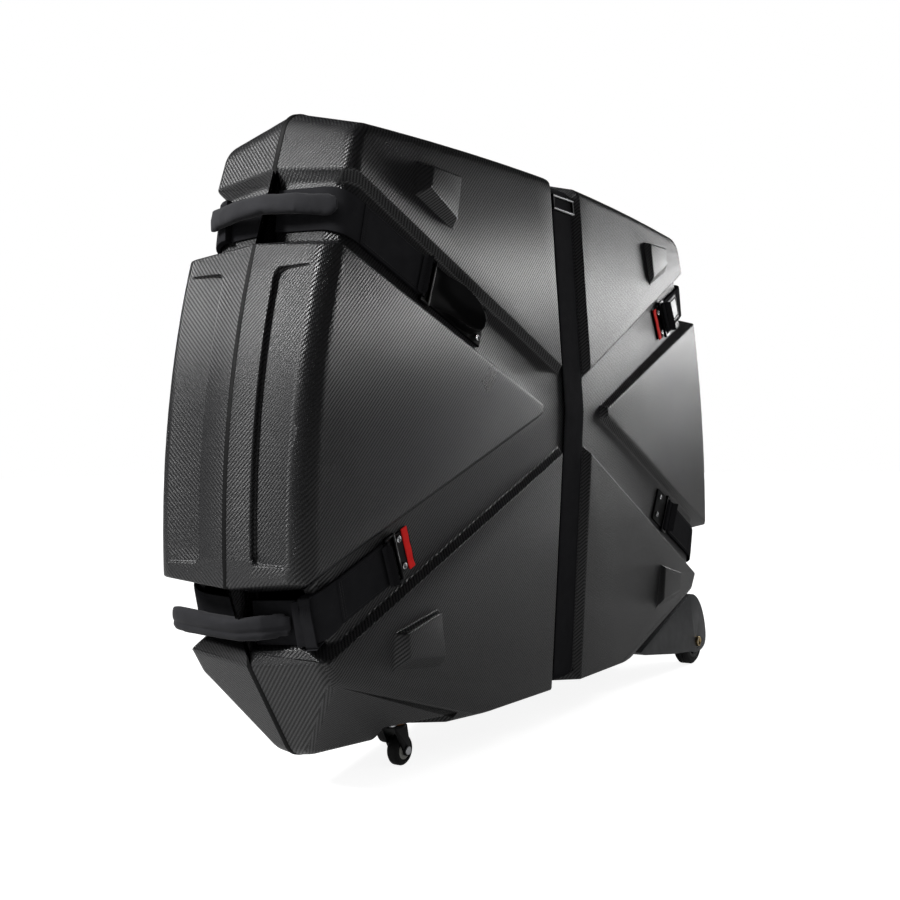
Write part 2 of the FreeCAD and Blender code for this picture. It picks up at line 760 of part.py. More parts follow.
straps = [("upper_left", -1, 1, -1), ("lower_left", -1, -1, 1)]
straps += [("upper_right", 1, 1, 1), ("lower_right", 1, -1, -1)]
for name, right, up, anchor_side in straps:
    fixed = Corner(right, up, anchor_side)
    loose = Corner(right, up, -anchor_side)
    anchor_half = "near" if anchor_side < 0 else "far"
    loose_half = "far" if anchor_side < 0 else "near"
    level = "top" if up > 0 else "low"
    anchor_x = half_length - size(level + "_anchor_setback")
    release_x = half_length - size(level + "_release_setback")
    band = fixed.stations(anchor_x)
    normal = fixed.turned(fixed.end_face[2])
    middle = fixed.turned(fixed.end_point(0))
    flow = Vector(0, -anchor_side, 0)
    band.append((middle, normal, flow))
    far_end = loose.turned(loose.bend_end())
    towards = (far_end - middle).normalize()
    stop = far_end - towards * size("hinge_gap")
    band.append((stop, normal, towards))
    feature(name + "_strap", webbing(band, size("strap_width"), size("strap_thick")))
    leg = webbing(loose.stations(release_x), size("strap_width"), size("strap_thick"), size("leg_padding"))
    feature(name + "_leg", leg)
    shift = size(level + "_handle_shift")
    feature(name + "_handle", handle_shape(fixed, shift))

    anchor = fixed.side_place(anchor_x, clear)
    ring = ring_frame(name + "_anchor_ring", shifted(anchor, 0, -ring_width / 2, 0), False)
    anchor_rings[anchor_half].append(ring)
    if up > 0:
        seat = fixed.side_place(anchor_x)
        start = ring_length + 1
        base = bound("Part::Box", name + "_cup_base", shifted(seat, start, -size("cup_width") / 2, 0), {
            "Length": "cup_length - ring_length", "Width": "cup_width", "Height": "cup_base"})
        dome = bound("Part::Ellipsoid", name + "_cup_dome", shifted(seat, start + 46, 0, size("cup_base")), {
            "Radius1": "cup_crown", "Radius2": "cup_width * 0.8", "Radius3": "cup_width / 2"})
        dome.Angle1 = 0
        spot = shifted(seat, start - 4, 0, size("cup_base") + 16)
        scoop = bound("Part::Sphere", name + "_cup_scoop", spot, {"Radius": "cup_scoop"})
        whole = joined("Part::MultiFuse", name + "_cup_blank", [base, dome], False)
        joined("Part::Cut", name + "_cup", [whole, scoop])
        row = start + size("cup_length") - ring_length - 10
        for index in (-1, 1):
            spot = shifted(seat, row, index * (size("cup_width") / 2 - 9), size("cup_base"))
            screw(anchor_half, spot, name + "_cup_screw_%d" % (index + 2))
    else:
        seat = fixed.side_place(anchor_x)
        spot = shifted(seat, ring_length + 1, -size("plate_width") / 2, 0)
        bound("Part::Box", name + "_plate", spot, {
            "Length": "plate_length", "Width": "plate_width", "Height": "plate_thick"}, True)
        for index in (-1, 1):
            spot = shifted(seat, ring_length + 34, index * 16, size("plate_thick"))
            screw(anchor_half, spot, name + "_plate_screw_%d" % (index + 2))

    seat = loose.side_place(release_x)
    raise_ring = size("hook_thick") + size("strap_clear")
    ring_frame(name + "_release_ring", shifted(seat, 0, -ring_width / 2, raise_ring), True)
    spot = shifted(seat, size("hook_start"), -size("hook_width") / 2, 0)
    plate = bound("Part::Box", name + "_hook_plate", spot, {
        "Length": "hook_length", "Width": "hook_width", "Height": "hook_thick"})
    post_spot = shifted(
        seat, size("hook_start") + size("ring_bar"), -size("hook_post_width") / 2, size("hook_thick"))
    hook_post = bound("Part::Box", name + "_hook_post", post_spot, {
        "Length": "hook_post", "Width": "hook_post_width", "Height": "hook_post_height"})
    joined("Part::MultiFuse", name + "_hook", [plate, hook_post])
    tab_spot = shifted(seat, size("tab_start"), -size("tab_width") / 2, size("hook_thick"))
    tab = bound("Part::Box", name + "_tab", tab_spot, {
        "Length": "tab_length", "Width": "tab_width", "Height": "tab_thick"})
    tabs[loose_half].append(tab)
    for index in (-1, 1):
        spot = shifted(seat, size("hook_screw"), index * 18, size("hook_thick"))
        screw(loose_half, spot, name + "_hook_screw_%d" % (index + 2))

# Centre strap: over the top, down the side and under the bottom of each half.


def centre_planes():
    sides = []
    for face in (top_floor_side, low_floor_side):
        sides.append(flat(on_panel(face, 0, 0), (0, face[2].y, face[2].z)))
    planes = [over_floor] + sides + [under_floor]
    return [moved_in(face, -size("strap_clear") - size("strap_thick") / 2) for face in planes]


def centre_stations(planes):
    spine = flat((0, 0, 0), (1, 0, 0))
    stop = flat((0, -seam - size("clip_clear") - size("clip_length"), 0), (0, 1, 0))
    corners = [meeting(planes[index], planes[index + 1], spine) for index in range(3)]
    points = [meeting(planes[0], stop, spine)] + corners + [meeting(planes[3], stop, spine)]
    ways = [(points[index + 1] - points[index]).normalize() for index in range(4)]
    stations = [(points[0], planes[0][2], ways[0])]
    for index in range(3):
        bend = size("centre_bend") * 0.9 if index != 1 else 1.0
        before, after = corners[index] - ways[index] * bend, corners[index] + ways[index + 1] * bend
        stations.append((before, planes[index][2], ways[index]))
        first, second = planes[index][2], planes[index + 1][2]
        if index != 1:
            stations += turn(before, first, ways[index], after, second, ways[index + 1], 5)
        stations.append((after, second, ways[index + 1]))
    stations.append((points[4], planes[3][2], ways[3]))
    return stations


planes = centre_planes()
centre_run = webbing(centre_stations(planes), size("centre_strap_width"), size("strap_thick"))
feature("near_centre_strap", centre_run)
feature("far_centre_strap", across(centre_run))

spine = flat((0, 0, 0), (1, 0, 0))
clip_stop = flat((0, -seam - size("clip_clear"), 0), (0, 1, 0))
for half, side in (("near", 1), ("far", -1)):
    clips = []
    for index, face in ((0, planes[0]), (3, planes[3])):
        spot = turned(meeting(face, clip_stop, spine), 1, side)
        normal = turned(face[2], 1, side)
        inward = Vector(1, 0, 0).cross(normal) * side
        if inward.y * side > 0:
            inward = inward * -1
        facing = Rotation(inward, normal.cross(inward), normal, "XZY")
        place = Placement(raised(spot.x, spot.y, spot.z), facing)
        place = shifted(place, 0, -size("centre_strap_width") / 2, -size("strap_thick") / 2)
        clips.append(bound("Part::Box", half + "_clip_%d" % index, place, {
            "Length": "clip_length", "Width": "centre_strap_width", "Height": "clip_thick"}))
    joined("Part::Compound", half + "_strap_clips", clips)

slide_face = moved_in(planes[1], -size("strap_thick") / 2)
spot = meeting(slide_face, flat((0, 0, size("slider_z")), (0, 0, 1)), spine)
facing = Rotation(Vector(1, 0, 0), Vector(0, 0, 1), slide_face[2], "XZY")
place = Placement(raised(spot.x, spot.y, spot.z), facing)
place = shifted(place, -size("slider_width") / 2, -size("slider_length") / 2, 0)
slider_blank = bound("Part::Box", "slider_blank", place, {
    "Length": "slider_width", "Width": "slider_length", "Height": "slider_thick"})
inset = shifted(place, size("slider_bar"), size("slider_bar"), -1)
slider_window = bound("Part::Box", "slider_window", inset, {
    "Length": "slider_width - 2 * slider_bar", "Width": "slider_length - 2 * slider_bar",
    "Height": "slider_thick + 2"})
joined("Part::Cut", "near_slider", [slider_blank, slider_window])

# Rear wheels in moulded housings that sit on the slanted cut.

axle_x = half_length - size("wheel_setback")
axle_z = size("wheel_radius") - size("centre_height")
wheel_half = size("wheel_width") / 2
outer_y = size("wheel_middle") + wheel_half + size("wheel_clear") + size("cheek_thick")
inner_y = size("wheel_middle") - wheel_half - size("wheel_clear") - size("cheek_thick")


def on_cut(x):
    return Vector(x, 0, cut_point.z + (x - cut_point.x) * math.tan(cut_angle))


def housing():
    axle = Vector(axle_x, 0, axle_z)
    toe, heel = on_cut(axle_x - 244), on_cut(axle_x - 17)
    bow = ((24, 72), (41, 34), (36, -6), (4, -19), (-30, -15))
    curve = [heel] + [axle + Vector(x, 0, z) for x, z in bow]
    sole = [axle + Vector(x, 0, z) for x, z in ((-30, -15), (-107, -9), (-227, 6))] + [toe, heel]
    spline = Part.BSplineCurve()
    spline.interpolate(curve)
    edges = [spline.toShape()] + [Part.makeLine(sole[i], sole[i + 1]) for i in range(len(sole) - 1)]
    face = Part.Face(Part.Wire(edges))
    deep = outer_y + 10
    block = face.extrude(Vector(0, inner_y - deep, 0))
    block.translate(Vector(0, -inner_y, 0))
    start = toe + Vector(0, -size("housing_top_depth"), 0)
    across_face = through(start, start + (heel - toe), axle + Vector(0, -outer_y, 0), Vector(0, -1, 0))
    block = block.common(kept_side(across_face))
    wedge_faces = low_faces + [flat(cut_point, wheel_cut[2] * -1), flat((0, -seam, 0), (0, 1, 0))]
    block = block.fuse(faceted(wedge_faces))
    arch_half = wheel_half + size("wheel_clear")
    arch_start = Vector(axle_x, -size("wheel_middle") - arch_half, axle_z)
    across_way = Vector(0, 1, 0)
    arch_radius = size("wheel_radius") + size("arch_clear")
    arch = Part.makeCylinder(arch_radius, 2 * arch_half, arch_start, across_way)
    bore_radius = size("axle_radius") + size("running_clear")
    bore = Part.makeCylinder(bore_radius, outer_y, Vector(axle_x, -outer_y - 1, axle_z), across_way)
    seat_radius = size("bolt_head_radius") + 1
    seat = Part.makeCylinder(seat_radius, deep, Vector(axle_x, -outer_y - deep + 1, axle_z), across_way)
    return block.cut([arch, bore, seat])


case_housing = housing()
feature("near_rear_housing", case_housing)
feature("far_rear_housing", across(case_housing))

for half, side in (("near", -1), ("far", 1)):
    outward_y = Rotation(Vector(1, 0, 0), 90 if side < 0 else -90)
    middle = raised(axle_x, side * size("wheel_middle"), axle_z)
    inner_side = Placement(middle - Vector(0, side * wheel_half, 0), outward_y)
    tyre_blank = bound("Part::Cylinder", half + "_tyre_blank", inner_side, {
        "Radius": "wheel_radius", "Height": "wheel_width"})
    tyre_bore = bound("Part::Cylinder", half + "_tyre_bore", inner_side, {
        "Radius": "hub_radius", "Height": "wheel_width"})
    tyre_ring = joined("Part::Cut", half + "_tyre_ring", [tyre_blank, tyre_bore], False)
    doc.recompute()
    rims = [
        index for index, edge in enumerate(tyre_ring.Shape.Edges, 1)
        if edge.Closed and abs(edge.BoundBox.XLength - 2 * size("wheel_radius")) < 1
    ]
    tyre = doc.addObject("Part::Fillet", half + "_rear_tyre")
    tyre.Base = tyre_ring
    tyre.Edges = [(index, size("tyre_round"), size("tyre_round")) for index in rims]
    nodes.append(tyre)

    hub_blank = bound("Part::Cylinder", half + "_hub_blank", inner_side, {
        "Radius": "hub_radius", "Height": "wheel_width"})
    tools = [bound("Part::Cylinder", half + "_hub_bore", inner_side, {
        "Radius": "axle_radius + running_clear", "Height": "wheel_width"})]
    for index in range(6):
        angle = math.radians(60 * index)
        circle = size("hub_hole_circle")
        spot = shifted(inner_side, math.cos(angle) * circle, math.sin(angle) * circle, 0)
        tools.append(bound("Part::Cylinder", half + "_hub_hole_%d" % index, spot, {
            "Radius": "hub_hole_radius", "Height": "wheel_width"}))
    hub_tools = joined("Part::MultiFuse", half + "_hub_tools", tools, False)
    joined("Part::Cut", half + "_rear_hub", [hub_blank, hub_tools])

    start = Placement(raised(axle_x, side * inner_y, axle_z), outward_y)
    shank = bound("Part::Cylinder", half + "_axle_shank", start, {
        "Radius": "axle_radius", "Height": "wheel_width + 2 * wheel_clear + 2 * cheek_thick - 1"})
    head_spot = Placement(raised(axle_x, side * (outer_y - 1), axle_z), outward_y)
    head = bound("Part::Cylinder", half + "_axle_head", head_spot, {
        "Radius": "bolt_head_radius", "Height": "bolt_head_height"})
    joined("Part::MultiFuse", half + "_axle_bolt", [shank, head])

# Swivel casters under the front end, in the pockets.

roof = size("pocket_roof_z")
plate_low = roof - size("caster_plate_thick")
bearing_low = plate_low - size("bearing_height")
fork_top = bearing_low - size("bearing_clear")
roller_z = size("caster_wheel_radius") - size("centre_height")


def fork_leg(x, y):
    top, foot = fork_top - size("fork_thick") / 2, size("fork_foot")
    half = size("fork_radius") * 0.8
    axle = Vector(x + size("caster_trail"), y, roller_z)
    points = [Vector(x - half, y, top), Vector(x + half, y, top)]
    points += [axle + Vector(foot, 0, 0), axle + Vector(0, 0, -foot), axle + Vector(-foot, 0, 0)]
    lines = [Part.makeLine(points[0], points[1]), Part.makeLine(points[1], points[2])]
    lines += [Part.Arc(points[2], points[3], points[4]).toShape(), Part.makeLine(points[4], points[0])]
    return Part.Face(Part.Wire(lines)).extrude(Vector(0, size("fork_thick"), 0))


def fork(x):
    middle, thick = -size("caster_middle"), size("fork_thick")
    crown = Part.makeCylinder(size("fork_radius"), thick, Vector(x, middle, fork_top - thick))
    pin_height = size("bearing_height") + size("bearing_clear") - size("pin_clear") + thick / 2
    pin = Part.makeCylinder(size("kingpin_radius"), pin_height, Vector(x, middle, fork_top - thick / 2))
    gap = size("caster_wheel_width") / 2 + size("fork_clear")
    whole = crown.fuse([pin, fork_leg(x, middle - gap - thick), fork_leg(x, middle + gap)])
    bore_start = Vector(x + size("caster_trail"), middle - 2 * gap, roller_z)
    bore_radius = size("caster_axle_radius") + size("running_clear")
    return whole.cut(Part.makeCylinder(bore_radius, 4 * gap, bore_start, Vector(0, 1, 0))).removeSplitter()


feature("near_caster_fork", fork(pocket_x["near"]))
feature("far_caster_fork", across(fork(pocket_x["far"])))

for half, side in (("near", -1), ("far", 1)):
    middle, swivel_x = side * size("caster_middle"), pocket_x[half]
    roller_x = swivel_x + size("caster_trail")
    length, width = size("caster_plate_length"), size("caster_plate_width")
    corner = Placement(raised(swivel_x - length / 2, middle - width / 2, plate_low), Rotation())
    bound("Part::Box", half + "_caster_plate", corner, {
        "Length": "caster_plate_length",
        "Width": "caster_plate_width",
        "Height": "caster_plate_thick",
    }, True)
    under = Rotation(Vector(1, 0, 0), 180)
    for index, (x, y) in enumerate(((-1, -1), (-1, 1), (1, -1), (1, 1))):
        spot = raised(swivel_x + x * (length / 2 - 8), middle + y * (width / 2 - 8), plate_low)
        screw(half, Placement(spot, under), half + "_caster_screw_%d" % index)
    low = Placement(raised(swivel_x, middle, bearing_low), Rotation())
    bearing_blank = bound("Part::Cylinder", half + "_bearing_blank", low, {
        "Radius": "bearing_radius", "Height": "bearing_height"})
    bearing_bore = bound("Part::Cylinder", half + "_bearing_bore", low, {
        "Radius": "kingpin_radius + running_clear", "Height": "bearing_height"})
    joined("Part::Cut", half + "_caster_bearing", [bearing_blank, bearing_bore])

    outward_y = Rotation(Vector(1, 0, 0), 90 if side < 0 else -90)
    wheel_side = size("caster_wheel_width") / 2
    start = Placement(raised(roller_x, middle - side * wheel_side, roller_z), outward_y)
    wheel_blank = bound("Part::Cylinder", half + "_caster_wheel_blank", start, {
        "Radius": "caster_wheel_radius", "Height": "caster_wheel_width"})
    wheel_bore = bound("Part::Cylinder", half + "_caster_wheel_bore", start, {
        "Radius": "caster_axle_radius + running_clear", "Height": "caster_wheel_width"})
    joined("Part::Cut", half + "_caster_wheel", [wheel_blank, wheel_bore])
    reach = wheel_side + size("fork_clear") + size("fork_thick")
    start = Placement(raised(roller_x, middle - side * reach, roller_z), outward_y)
    shank = bound("Part::Cylinder", half + "_caster_shank", start, {
        "Radius": "caster_axle_radius", "Height": "caster_wheel_width + 2 * fork_clear + 2 * fork_thick"})
    heads = []
    for index, offset in enumerate((-reach - size("caster_axle_head_height"), reach)):
        spot = Placement(raised(roller_x, middle + side * offset, roller_z), outward_y)
        heads.append(bound("Part::Cylinder", half + "_caster_head_%d" % index, spot, {
            "Radius": "caster_axle_head", "Height": "caster_axle_head_height"}))
    joined("Part::MultiFuse", half + "_caster_axle", [shank] + heads)

for half in ("near", "far"):
    joined("Part::Compound", half + "_anchor_rings", anchor_rings[half])
    joined("Part::Compound", half + "_pull_tabs", tabs[half])
    joined("Part::Compound", half + "_screws", screws[half])

doc.recompute()
for item in doc.Objects:
    if "Invalid" in item.State or "Error" in item.State:
        raise RuntimeError("%s is %s" % (item.Label, item.State))
for item in nodes:
    if item.Shape.isNull() or not item.Shape.isValid():
        raise RuntimeError("%s has no valid shape" % item.Label)

os.makedirs("parts", exist_ok=True)
for item in nodes:
    item.Shape.exportStep("parts/%s.step" % item.Label)
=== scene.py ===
import bmesh
import bpy
import json
import math
from mathutils import Matrix, Vector

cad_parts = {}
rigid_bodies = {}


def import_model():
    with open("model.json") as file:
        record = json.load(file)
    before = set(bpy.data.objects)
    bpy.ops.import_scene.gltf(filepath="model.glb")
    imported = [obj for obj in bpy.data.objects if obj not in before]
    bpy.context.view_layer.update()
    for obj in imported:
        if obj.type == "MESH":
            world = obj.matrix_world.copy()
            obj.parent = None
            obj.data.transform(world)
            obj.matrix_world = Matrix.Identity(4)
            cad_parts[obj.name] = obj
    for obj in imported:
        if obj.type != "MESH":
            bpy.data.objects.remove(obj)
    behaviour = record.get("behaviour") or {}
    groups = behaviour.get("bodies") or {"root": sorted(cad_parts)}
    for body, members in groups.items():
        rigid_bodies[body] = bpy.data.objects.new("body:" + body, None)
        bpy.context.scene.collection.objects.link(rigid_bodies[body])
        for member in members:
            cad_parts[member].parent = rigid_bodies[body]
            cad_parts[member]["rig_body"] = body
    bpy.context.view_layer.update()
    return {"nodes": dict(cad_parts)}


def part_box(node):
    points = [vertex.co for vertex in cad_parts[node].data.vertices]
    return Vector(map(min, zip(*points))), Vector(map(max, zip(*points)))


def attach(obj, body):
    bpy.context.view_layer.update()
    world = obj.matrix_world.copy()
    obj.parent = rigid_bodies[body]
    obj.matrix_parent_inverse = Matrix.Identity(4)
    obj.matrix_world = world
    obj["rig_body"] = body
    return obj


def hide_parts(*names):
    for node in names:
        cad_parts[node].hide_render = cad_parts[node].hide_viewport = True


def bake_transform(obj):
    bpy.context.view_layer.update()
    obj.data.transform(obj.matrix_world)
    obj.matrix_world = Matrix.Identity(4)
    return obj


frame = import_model()
nodes = frame["nodes"]
scene = bpy.context.scene
scene.view_settings.view_transform = "Standard"
mm = 0.001

# Camera

cameraSpot = {
    "place": (-1.575, -0.936, 0.399), "yaw": -57.0, "pitch": 0.23, "roll": -0.68,
    "focalPixels": 1188, "imagePixels": 900, "filmWidth": 36,
}


def aimedCamera(spot):
    yaw, pitch, roll = (math.radians(spot[key]) for key in ("yaw", "pitch", "roll"))
    ahead = Vector((-math.sin(yaw) * math.cos(pitch), math.cos(yaw) * math.cos(pitch), math.sin(pitch)))
    side = Vector((math.cos(yaw), math.sin(yaw), 0))
    over = side.cross(ahead)
    rolledSide = side * math.cos(roll) + over * math.sin(roll)
    rolledOver = over * math.cos(roll) - side * math.sin(roll)
    data = bpy.data.cameras.new("viewCamera")
    data.sensor_width = spot["filmWidth"]
    data.lens = spot["filmWidth"] * spot["focalPixels"] / spot["imagePixels"]
    camera = bpy.data.objects.new("viewCamera", data)
    scene.collection.objects.link(camera)
    turn = Matrix((rolledSide, rolledOver, -ahead)).transposed().to_4x4()
    camera.matrix_world = Matrix.Translation(spot["place"]) @ turn
    scene.camera = camera


aimedCamera(cameraSpot)

# Materials


def linear(hexText):
    channels = [int(hexText[i:i + 2], 16) / 255 for i in (1, 3, 5)]
    return [c / 12.92 if c <= 0.04045 else ((c + 0.055) / 1.055) ** 2.4 for c in channels] + [1]


def addNode(tree, kind, values=None, **settings):
    node = tree.nodes.new(kind)
    for name, value in settings.items():
        setattr(node, name, value)
    for name, value in (values or {}).items():
        if isinstance(value, bpy.types.NodeSocket):
            tree.links.new(value, node.inputs[name])
        else:
            node.inputs[name].default_value = value
    return node


def newMaterial(name, values):
    material = bpy.data.materials.new(name)
    material.use_nodes = True
    tree = material.node_tree
    shader = tree.nodes["Principled BSDF"]
    for key, value in values.items():
        shader.inputs[key].default_value = value
    return material, tree, shader


# Woven glass laminate, moulded under a satin clear coat: flat tows catch the light in diagonal twill lines,
# helped by a painted sheen, as the warp tows are coloured lighter than the weft tows
# tow, wander, relief and cloud are in mm; a twill repeats every four tows and a tow floats over two of them
laminate = {
    "tow": 1.35, "wander": 0.4, "warp": "#19191b", "weft": "#0a0a0b", "roughWarp": 0.24, "roughWeft": 0.32,
    "shineWarp": 0.66, "shineWeft": 0.26, "relief": 0.4, "strength": 0.6, "cloud": 110.0,
    "repeat": 4, "floats": 0.49, "towTone": 0.6, "cloudTone": 0.4, "rub": 0.3,
}


def wovenLaminate(name, lean):
    material, tree, shader = newMaterial(name, {"IOR": 1.5})
    laid = addNode(tree, "ShaderNodeUVMap", uv_map="laid").outputs[0]
    place = addNode(tree, "ShaderNodeTexCoord").outputs["Object"]
    cloud = addNode(tree, "ShaderNodeTexNoise", {
        "Vector": place, "Scale": 1 / (laminate["cloud"] * mm), "Detail": 4})
    drift = addNode(tree, "ShaderNodeVectorMath", {
        0: cloud.outputs["Color"], "Scale": laminate["wander"] * mm}, operation="SCALE").outputs[0]
    eased = addNode(tree, "ShaderNodeVectorMath", {0: laid, 1: drift}, operation="ADD").outputs[0]
    tows = addNode(tree, "ShaderNodeVectorMath", {
        0: eased, "Scale": 1 / (laminate["tow"] * mm)}, operation="SCALE").outputs[0]
    count = addNode(tree, "ShaderNodeVectorMath", {0: tows}, operation="FLOOR").outputs[0]
    within = addNode(tree, "ShaderNodeVectorMath", {0: tows}, operation="FRACTION").outputs[0]
    halfTurn = addNode(tree, "ShaderNodeVectorMath", {
        0: within, "Scale": math.pi}, operation="SCALE").outputs[0]
    arch = addNode(tree, "ShaderNodeVectorMath", {0: halfTurn}, operation="SINE").outputs[0]
    ways = addNode(tree, "ShaderNodeSeparateXYZ", {0: count})
    crowns = addNode(tree, "ShaderNodeSeparateXYZ", {0: arch})
    stepWay = "SUBTRACT" if lean > 0 else "ADD"
    step = addNode(tree, "ShaderNodeMath", {
        0: ways.outputs[0], 1: ways.outputs[1]}, operation=stepWay).outputs[0]
    repeats = addNode(tree, "ShaderNodeMath", {
        0: step, 1: 1 / laminate["repeat"]}, operation="MULTIPLY").outputs[0]
    phase = addNode(tree, "ShaderNodeMath", {0: repeats}, operation="FRACT").outputs[0]
    warpOver = addNode(tree, "ShaderNodeMath", {
        0: phase, 1: laminate["floats"]}, operation="LESS_THAN").outputs[0]
    height = addNode(tree, "ShaderNodeMix", {
        "Factor": warpOver, "A": crowns.outputs[1], "B": crowns.outputs[0]}, data_type="FLOAT").outputs[0]
    clouded = addNode(tree, "ShaderNodeMath", {
        0: cloud.outputs[0], 1: laminate["cloudTone"]}, operation="MULTIPLY").outputs[0]
    # painted sheen: where the warp floats on top, the colour moves to the lighter warp colour as its glint;
    # the broad cloud adds a random tone
    tone = addNode(tree, "ShaderNodeMath", {
        0: warpOver, 1: laminate["towTone"], 2: clouded}, operation="MULTIPLY_ADD").outputs[0]
    colour = addNode(tree, "ShaderNodeMix", {
        "Factor": tone, "A": linear(laminate["weft"]), "B": linear(laminate["warp"])}, data_type="RGBA")
    rough = addNode(tree, "ShaderNodeMapRange", {
        "Value": warpOver, "To Min": laminate["roughWeft"], "To Max": laminate["roughWarp"]}).outputs[0]
    rubbed = addNode(tree, "ShaderNodeMath", {
        0: clouded, 1: laminate["rub"], 2: rough}, operation="MULTIPLY_ADD").outputs[0]
    bump = addNode(tree, "ShaderNodeBump", {
        "Strength": laminate["strength"], "Distance": laminate["relief"] * mm, "Height": height})
    tree.links.new(colour.outputs[2], shader.inputs["Base Color"])
    shine = addNode(tree, "ShaderNodeMapRange", {
        "Value": warpOver, "To Min": laminate["shineWeft"], "To Max": laminate["shineWarp"]}).outputs[0]
    tree.links.new(shine, shader.inputs["Specular IOR Level"])
    tree.links.new(rubbed, shader.inputs["Roughness"])
    tree.links.new(bump.outputs[0], shader.inputs["Normal"])
    return material


# Nylon webbing, plain woven: short ribs in brick rows, matt, with a painted highlight on the rib crowns and
# painted shade in the hollows over a random dusty tone; sizes in mm
webbingLook = {
    "rib": 1.7, "ends": 1.2, "relief": 0.3, "strength": 0.6, "dust": 16.0,
    "brick": 0.5, "ribTone": 0.6, "dustTone": 0.5,
}


def wovenBand(name, dark, pale, rough):
    material, tree, shader = newMaterial(name, {"IOR": 1.48, "Specular IOR Level": 0.02, "Roughness": rough})
    laid = addNode(tree, "ShaderNodeUVMap", uv_map="laid").outputs[0]
    perThread = (1 / (webbingLook["rib"] * mm), 1 / (webbingLook["ends"] * mm), 0)
    threads = addNode(tree, "ShaderNodeVectorMath", {0: laid, 1: perThread}, operation="MULTIPLY").outputs[0]
    parts = addNode(tree, "ShaderNodeSeparateXYZ", {0: threads})
    row = addNode(tree, "ShaderNodeMath", {0: parts.outputs[1]}, operation="FLOOR").outputs[0]
    brick = addNode(tree, "ShaderNodeMath", {
        0: row, 1: webbingLook["brick"], 2: parts.outputs[0]}, operation="MULTIPLY_ADD").outputs[0]
    pair = addNode(tree, "ShaderNodeCombineXYZ", {0: brick, 1: parts.outputs[1]}).outputs[0]
    within = addNode(tree, "ShaderNodeVectorMath", {0: pair}, operation="FRACTION").outputs[0]
    halfTurn = addNode(tree, "ShaderNodeVectorMath", {
        0: within, "Scale": math.pi}, operation="SCALE").outputs[0]
    arch = addNode(tree, "ShaderNodeVectorMath", {0: halfTurn}, operation="SINE").outputs[0]
    crowns = addNode(tree, "ShaderNodeSeparateXYZ", {0: arch})
    height = addNode(tree, "ShaderNodeMath", {
        0: crowns.outputs[0], 1: crowns.outputs[1]}, operation="MULTIPLY").outputs[0]
    place = addNode(tree, "ShaderNodeTexCoord").outputs["Object"]
    dust = addNode(tree, "ShaderNodeTexNoise", {
        "Vector": place, "Scale": 1 / (webbingLook["dust"] * mm), "Detail": 3})
    dusted = addNode(tree, "ShaderNodeMath", {
        0: dust.outputs[0], 1: webbingLook["dustTone"]}, operation="MULTIPLY").outputs[0]
    # painted light and shade: the colour follows the rib height, lighter on the crowns and darker in the
    # hollows; the dust noise is a random tone
    tone = addNode(tree, "ShaderNodeMath", {
        0: height, 1: webbingLook["ribTone"], 2: dusted}, operation="MULTIPLY_ADD").outputs[0]
    colour = addNode(tree, "ShaderNodeMix", {
        "Factor": tone, "A": linear(dark), "B": linear(pale)}, data_type="RGBA")
    bump = addNode(tree, "ShaderNodeBump", {
        "Strength": webbingLook["strength"], "Distance": webbingLook["relief"] * mm, "Height": height})
    tree.links.new(colour.outputs[2], shader.inputs["Base Color"])
    tree.links.new(bump.outputs[0], shader.inputs["Normal"])
    return material


# Moulded, coated, plated and napped surfaces share one build: a fine grain over a broad drift of tone
# grain and relief are in mm, and fine textures are drawn coarser than the real ones so that they show
grainLook = {"drift": 25, "strength": 0.5, "dull": 0.08, "shine": 0.06, "blend": 0.5, "worn": (0.3, 0.7)}


def grained(name, dark, pale, rough, grain, relief, more=None):
    material, tree, shader = newMaterial(name, {"Roughness": rough, **(more or {})})
    place = addNode(tree, "ShaderNodeTexCoord").outputs["Object"]
    perMetre = 1 / (grain * mm)
    fine = addNode(tree, "ShaderNodeTexNoise", {"Vector": place, "Scale": perMetre, "Detail": 3})
    broad = addNode(tree, "ShaderNodeTexNoise", {
        "Vector": place, "Scale": perMetre / grainLook["drift"], "Detail": 3})
    tone = addNode(tree, "ShaderNodeMix", {
        "Factor": grainLook["blend"], "A": fine.outputs[0],
        "B": broad.outputs[0]}, data_type="FLOAT").outputs[0]
    colour = addNode(tree, "ShaderNodeMix", {
        "Factor": tone, "A": linear(dark), "B": linear(pale)}, data_type="RGBA")
    worn = addNode(tree, "ShaderNodeMapRange", {
        "Value": tone, "From Min": grainLook["worn"][0], "From Max": grainLook["worn"][1],
        "To Min": rough + grainLook["dull"], "To Max": rough - grainLook["shine"]})
    bump = addNode(tree, "ShaderNodeBump", {
        "Strength": grainLook["strength"], "Distance": relief * mm, "Height": fine.outputs[0]})
    tree.links.new(colour.outputs[2], shader.inputs["Base Color"])
    tree.links.new(worn.outputs[0], shader.inputs["Roughness"])
    tree.links.new(bump.outputs[0], shader.inputs["Normal"])
    return material


nearLaminate = wovenLaminate("nearLaminate", 1)
farLaminate = wovenLaminate("farLaminate", -1)
nylonWebbing = wovenBand("nylonWebbing", "#19191b", "#2a2a2c", 0.9)
# dyed polyester tape: the same weave, with the same painted highlight on its crowns and painted shade in its
# hollows, in a clear red
redTape = wovenBand("redTape", "#d0181b", "#f53a36", 0.6)
# bonded nylon thread: slightly shiny strands that stand out on the dull band
nylonThread = grained("nylonThread", "#141415", "#2a2a2c", 0.55, 0.5, 0.05, {"Specular IOR Level": 0.25})
# EPDM rubber, extruded: dull black with a dusty bloom
sealRubber = grained("sealRubber", "#040404", "#0a0a0b", 0.65, 0.8, 0.05, {"Specular IOR Level": 0.12})
# polyester cloth over foam: soft black with a short nap that greys where it turns to the light
handleCloth = grained("handleCloth", "#1b1b1d", "#2b2b2e", 0.85, 0.9, 0.15, {
    "Specular IOR Level": 0.1, "Sheen Weight": 0.1, "Sheen Roughness": 0.45})
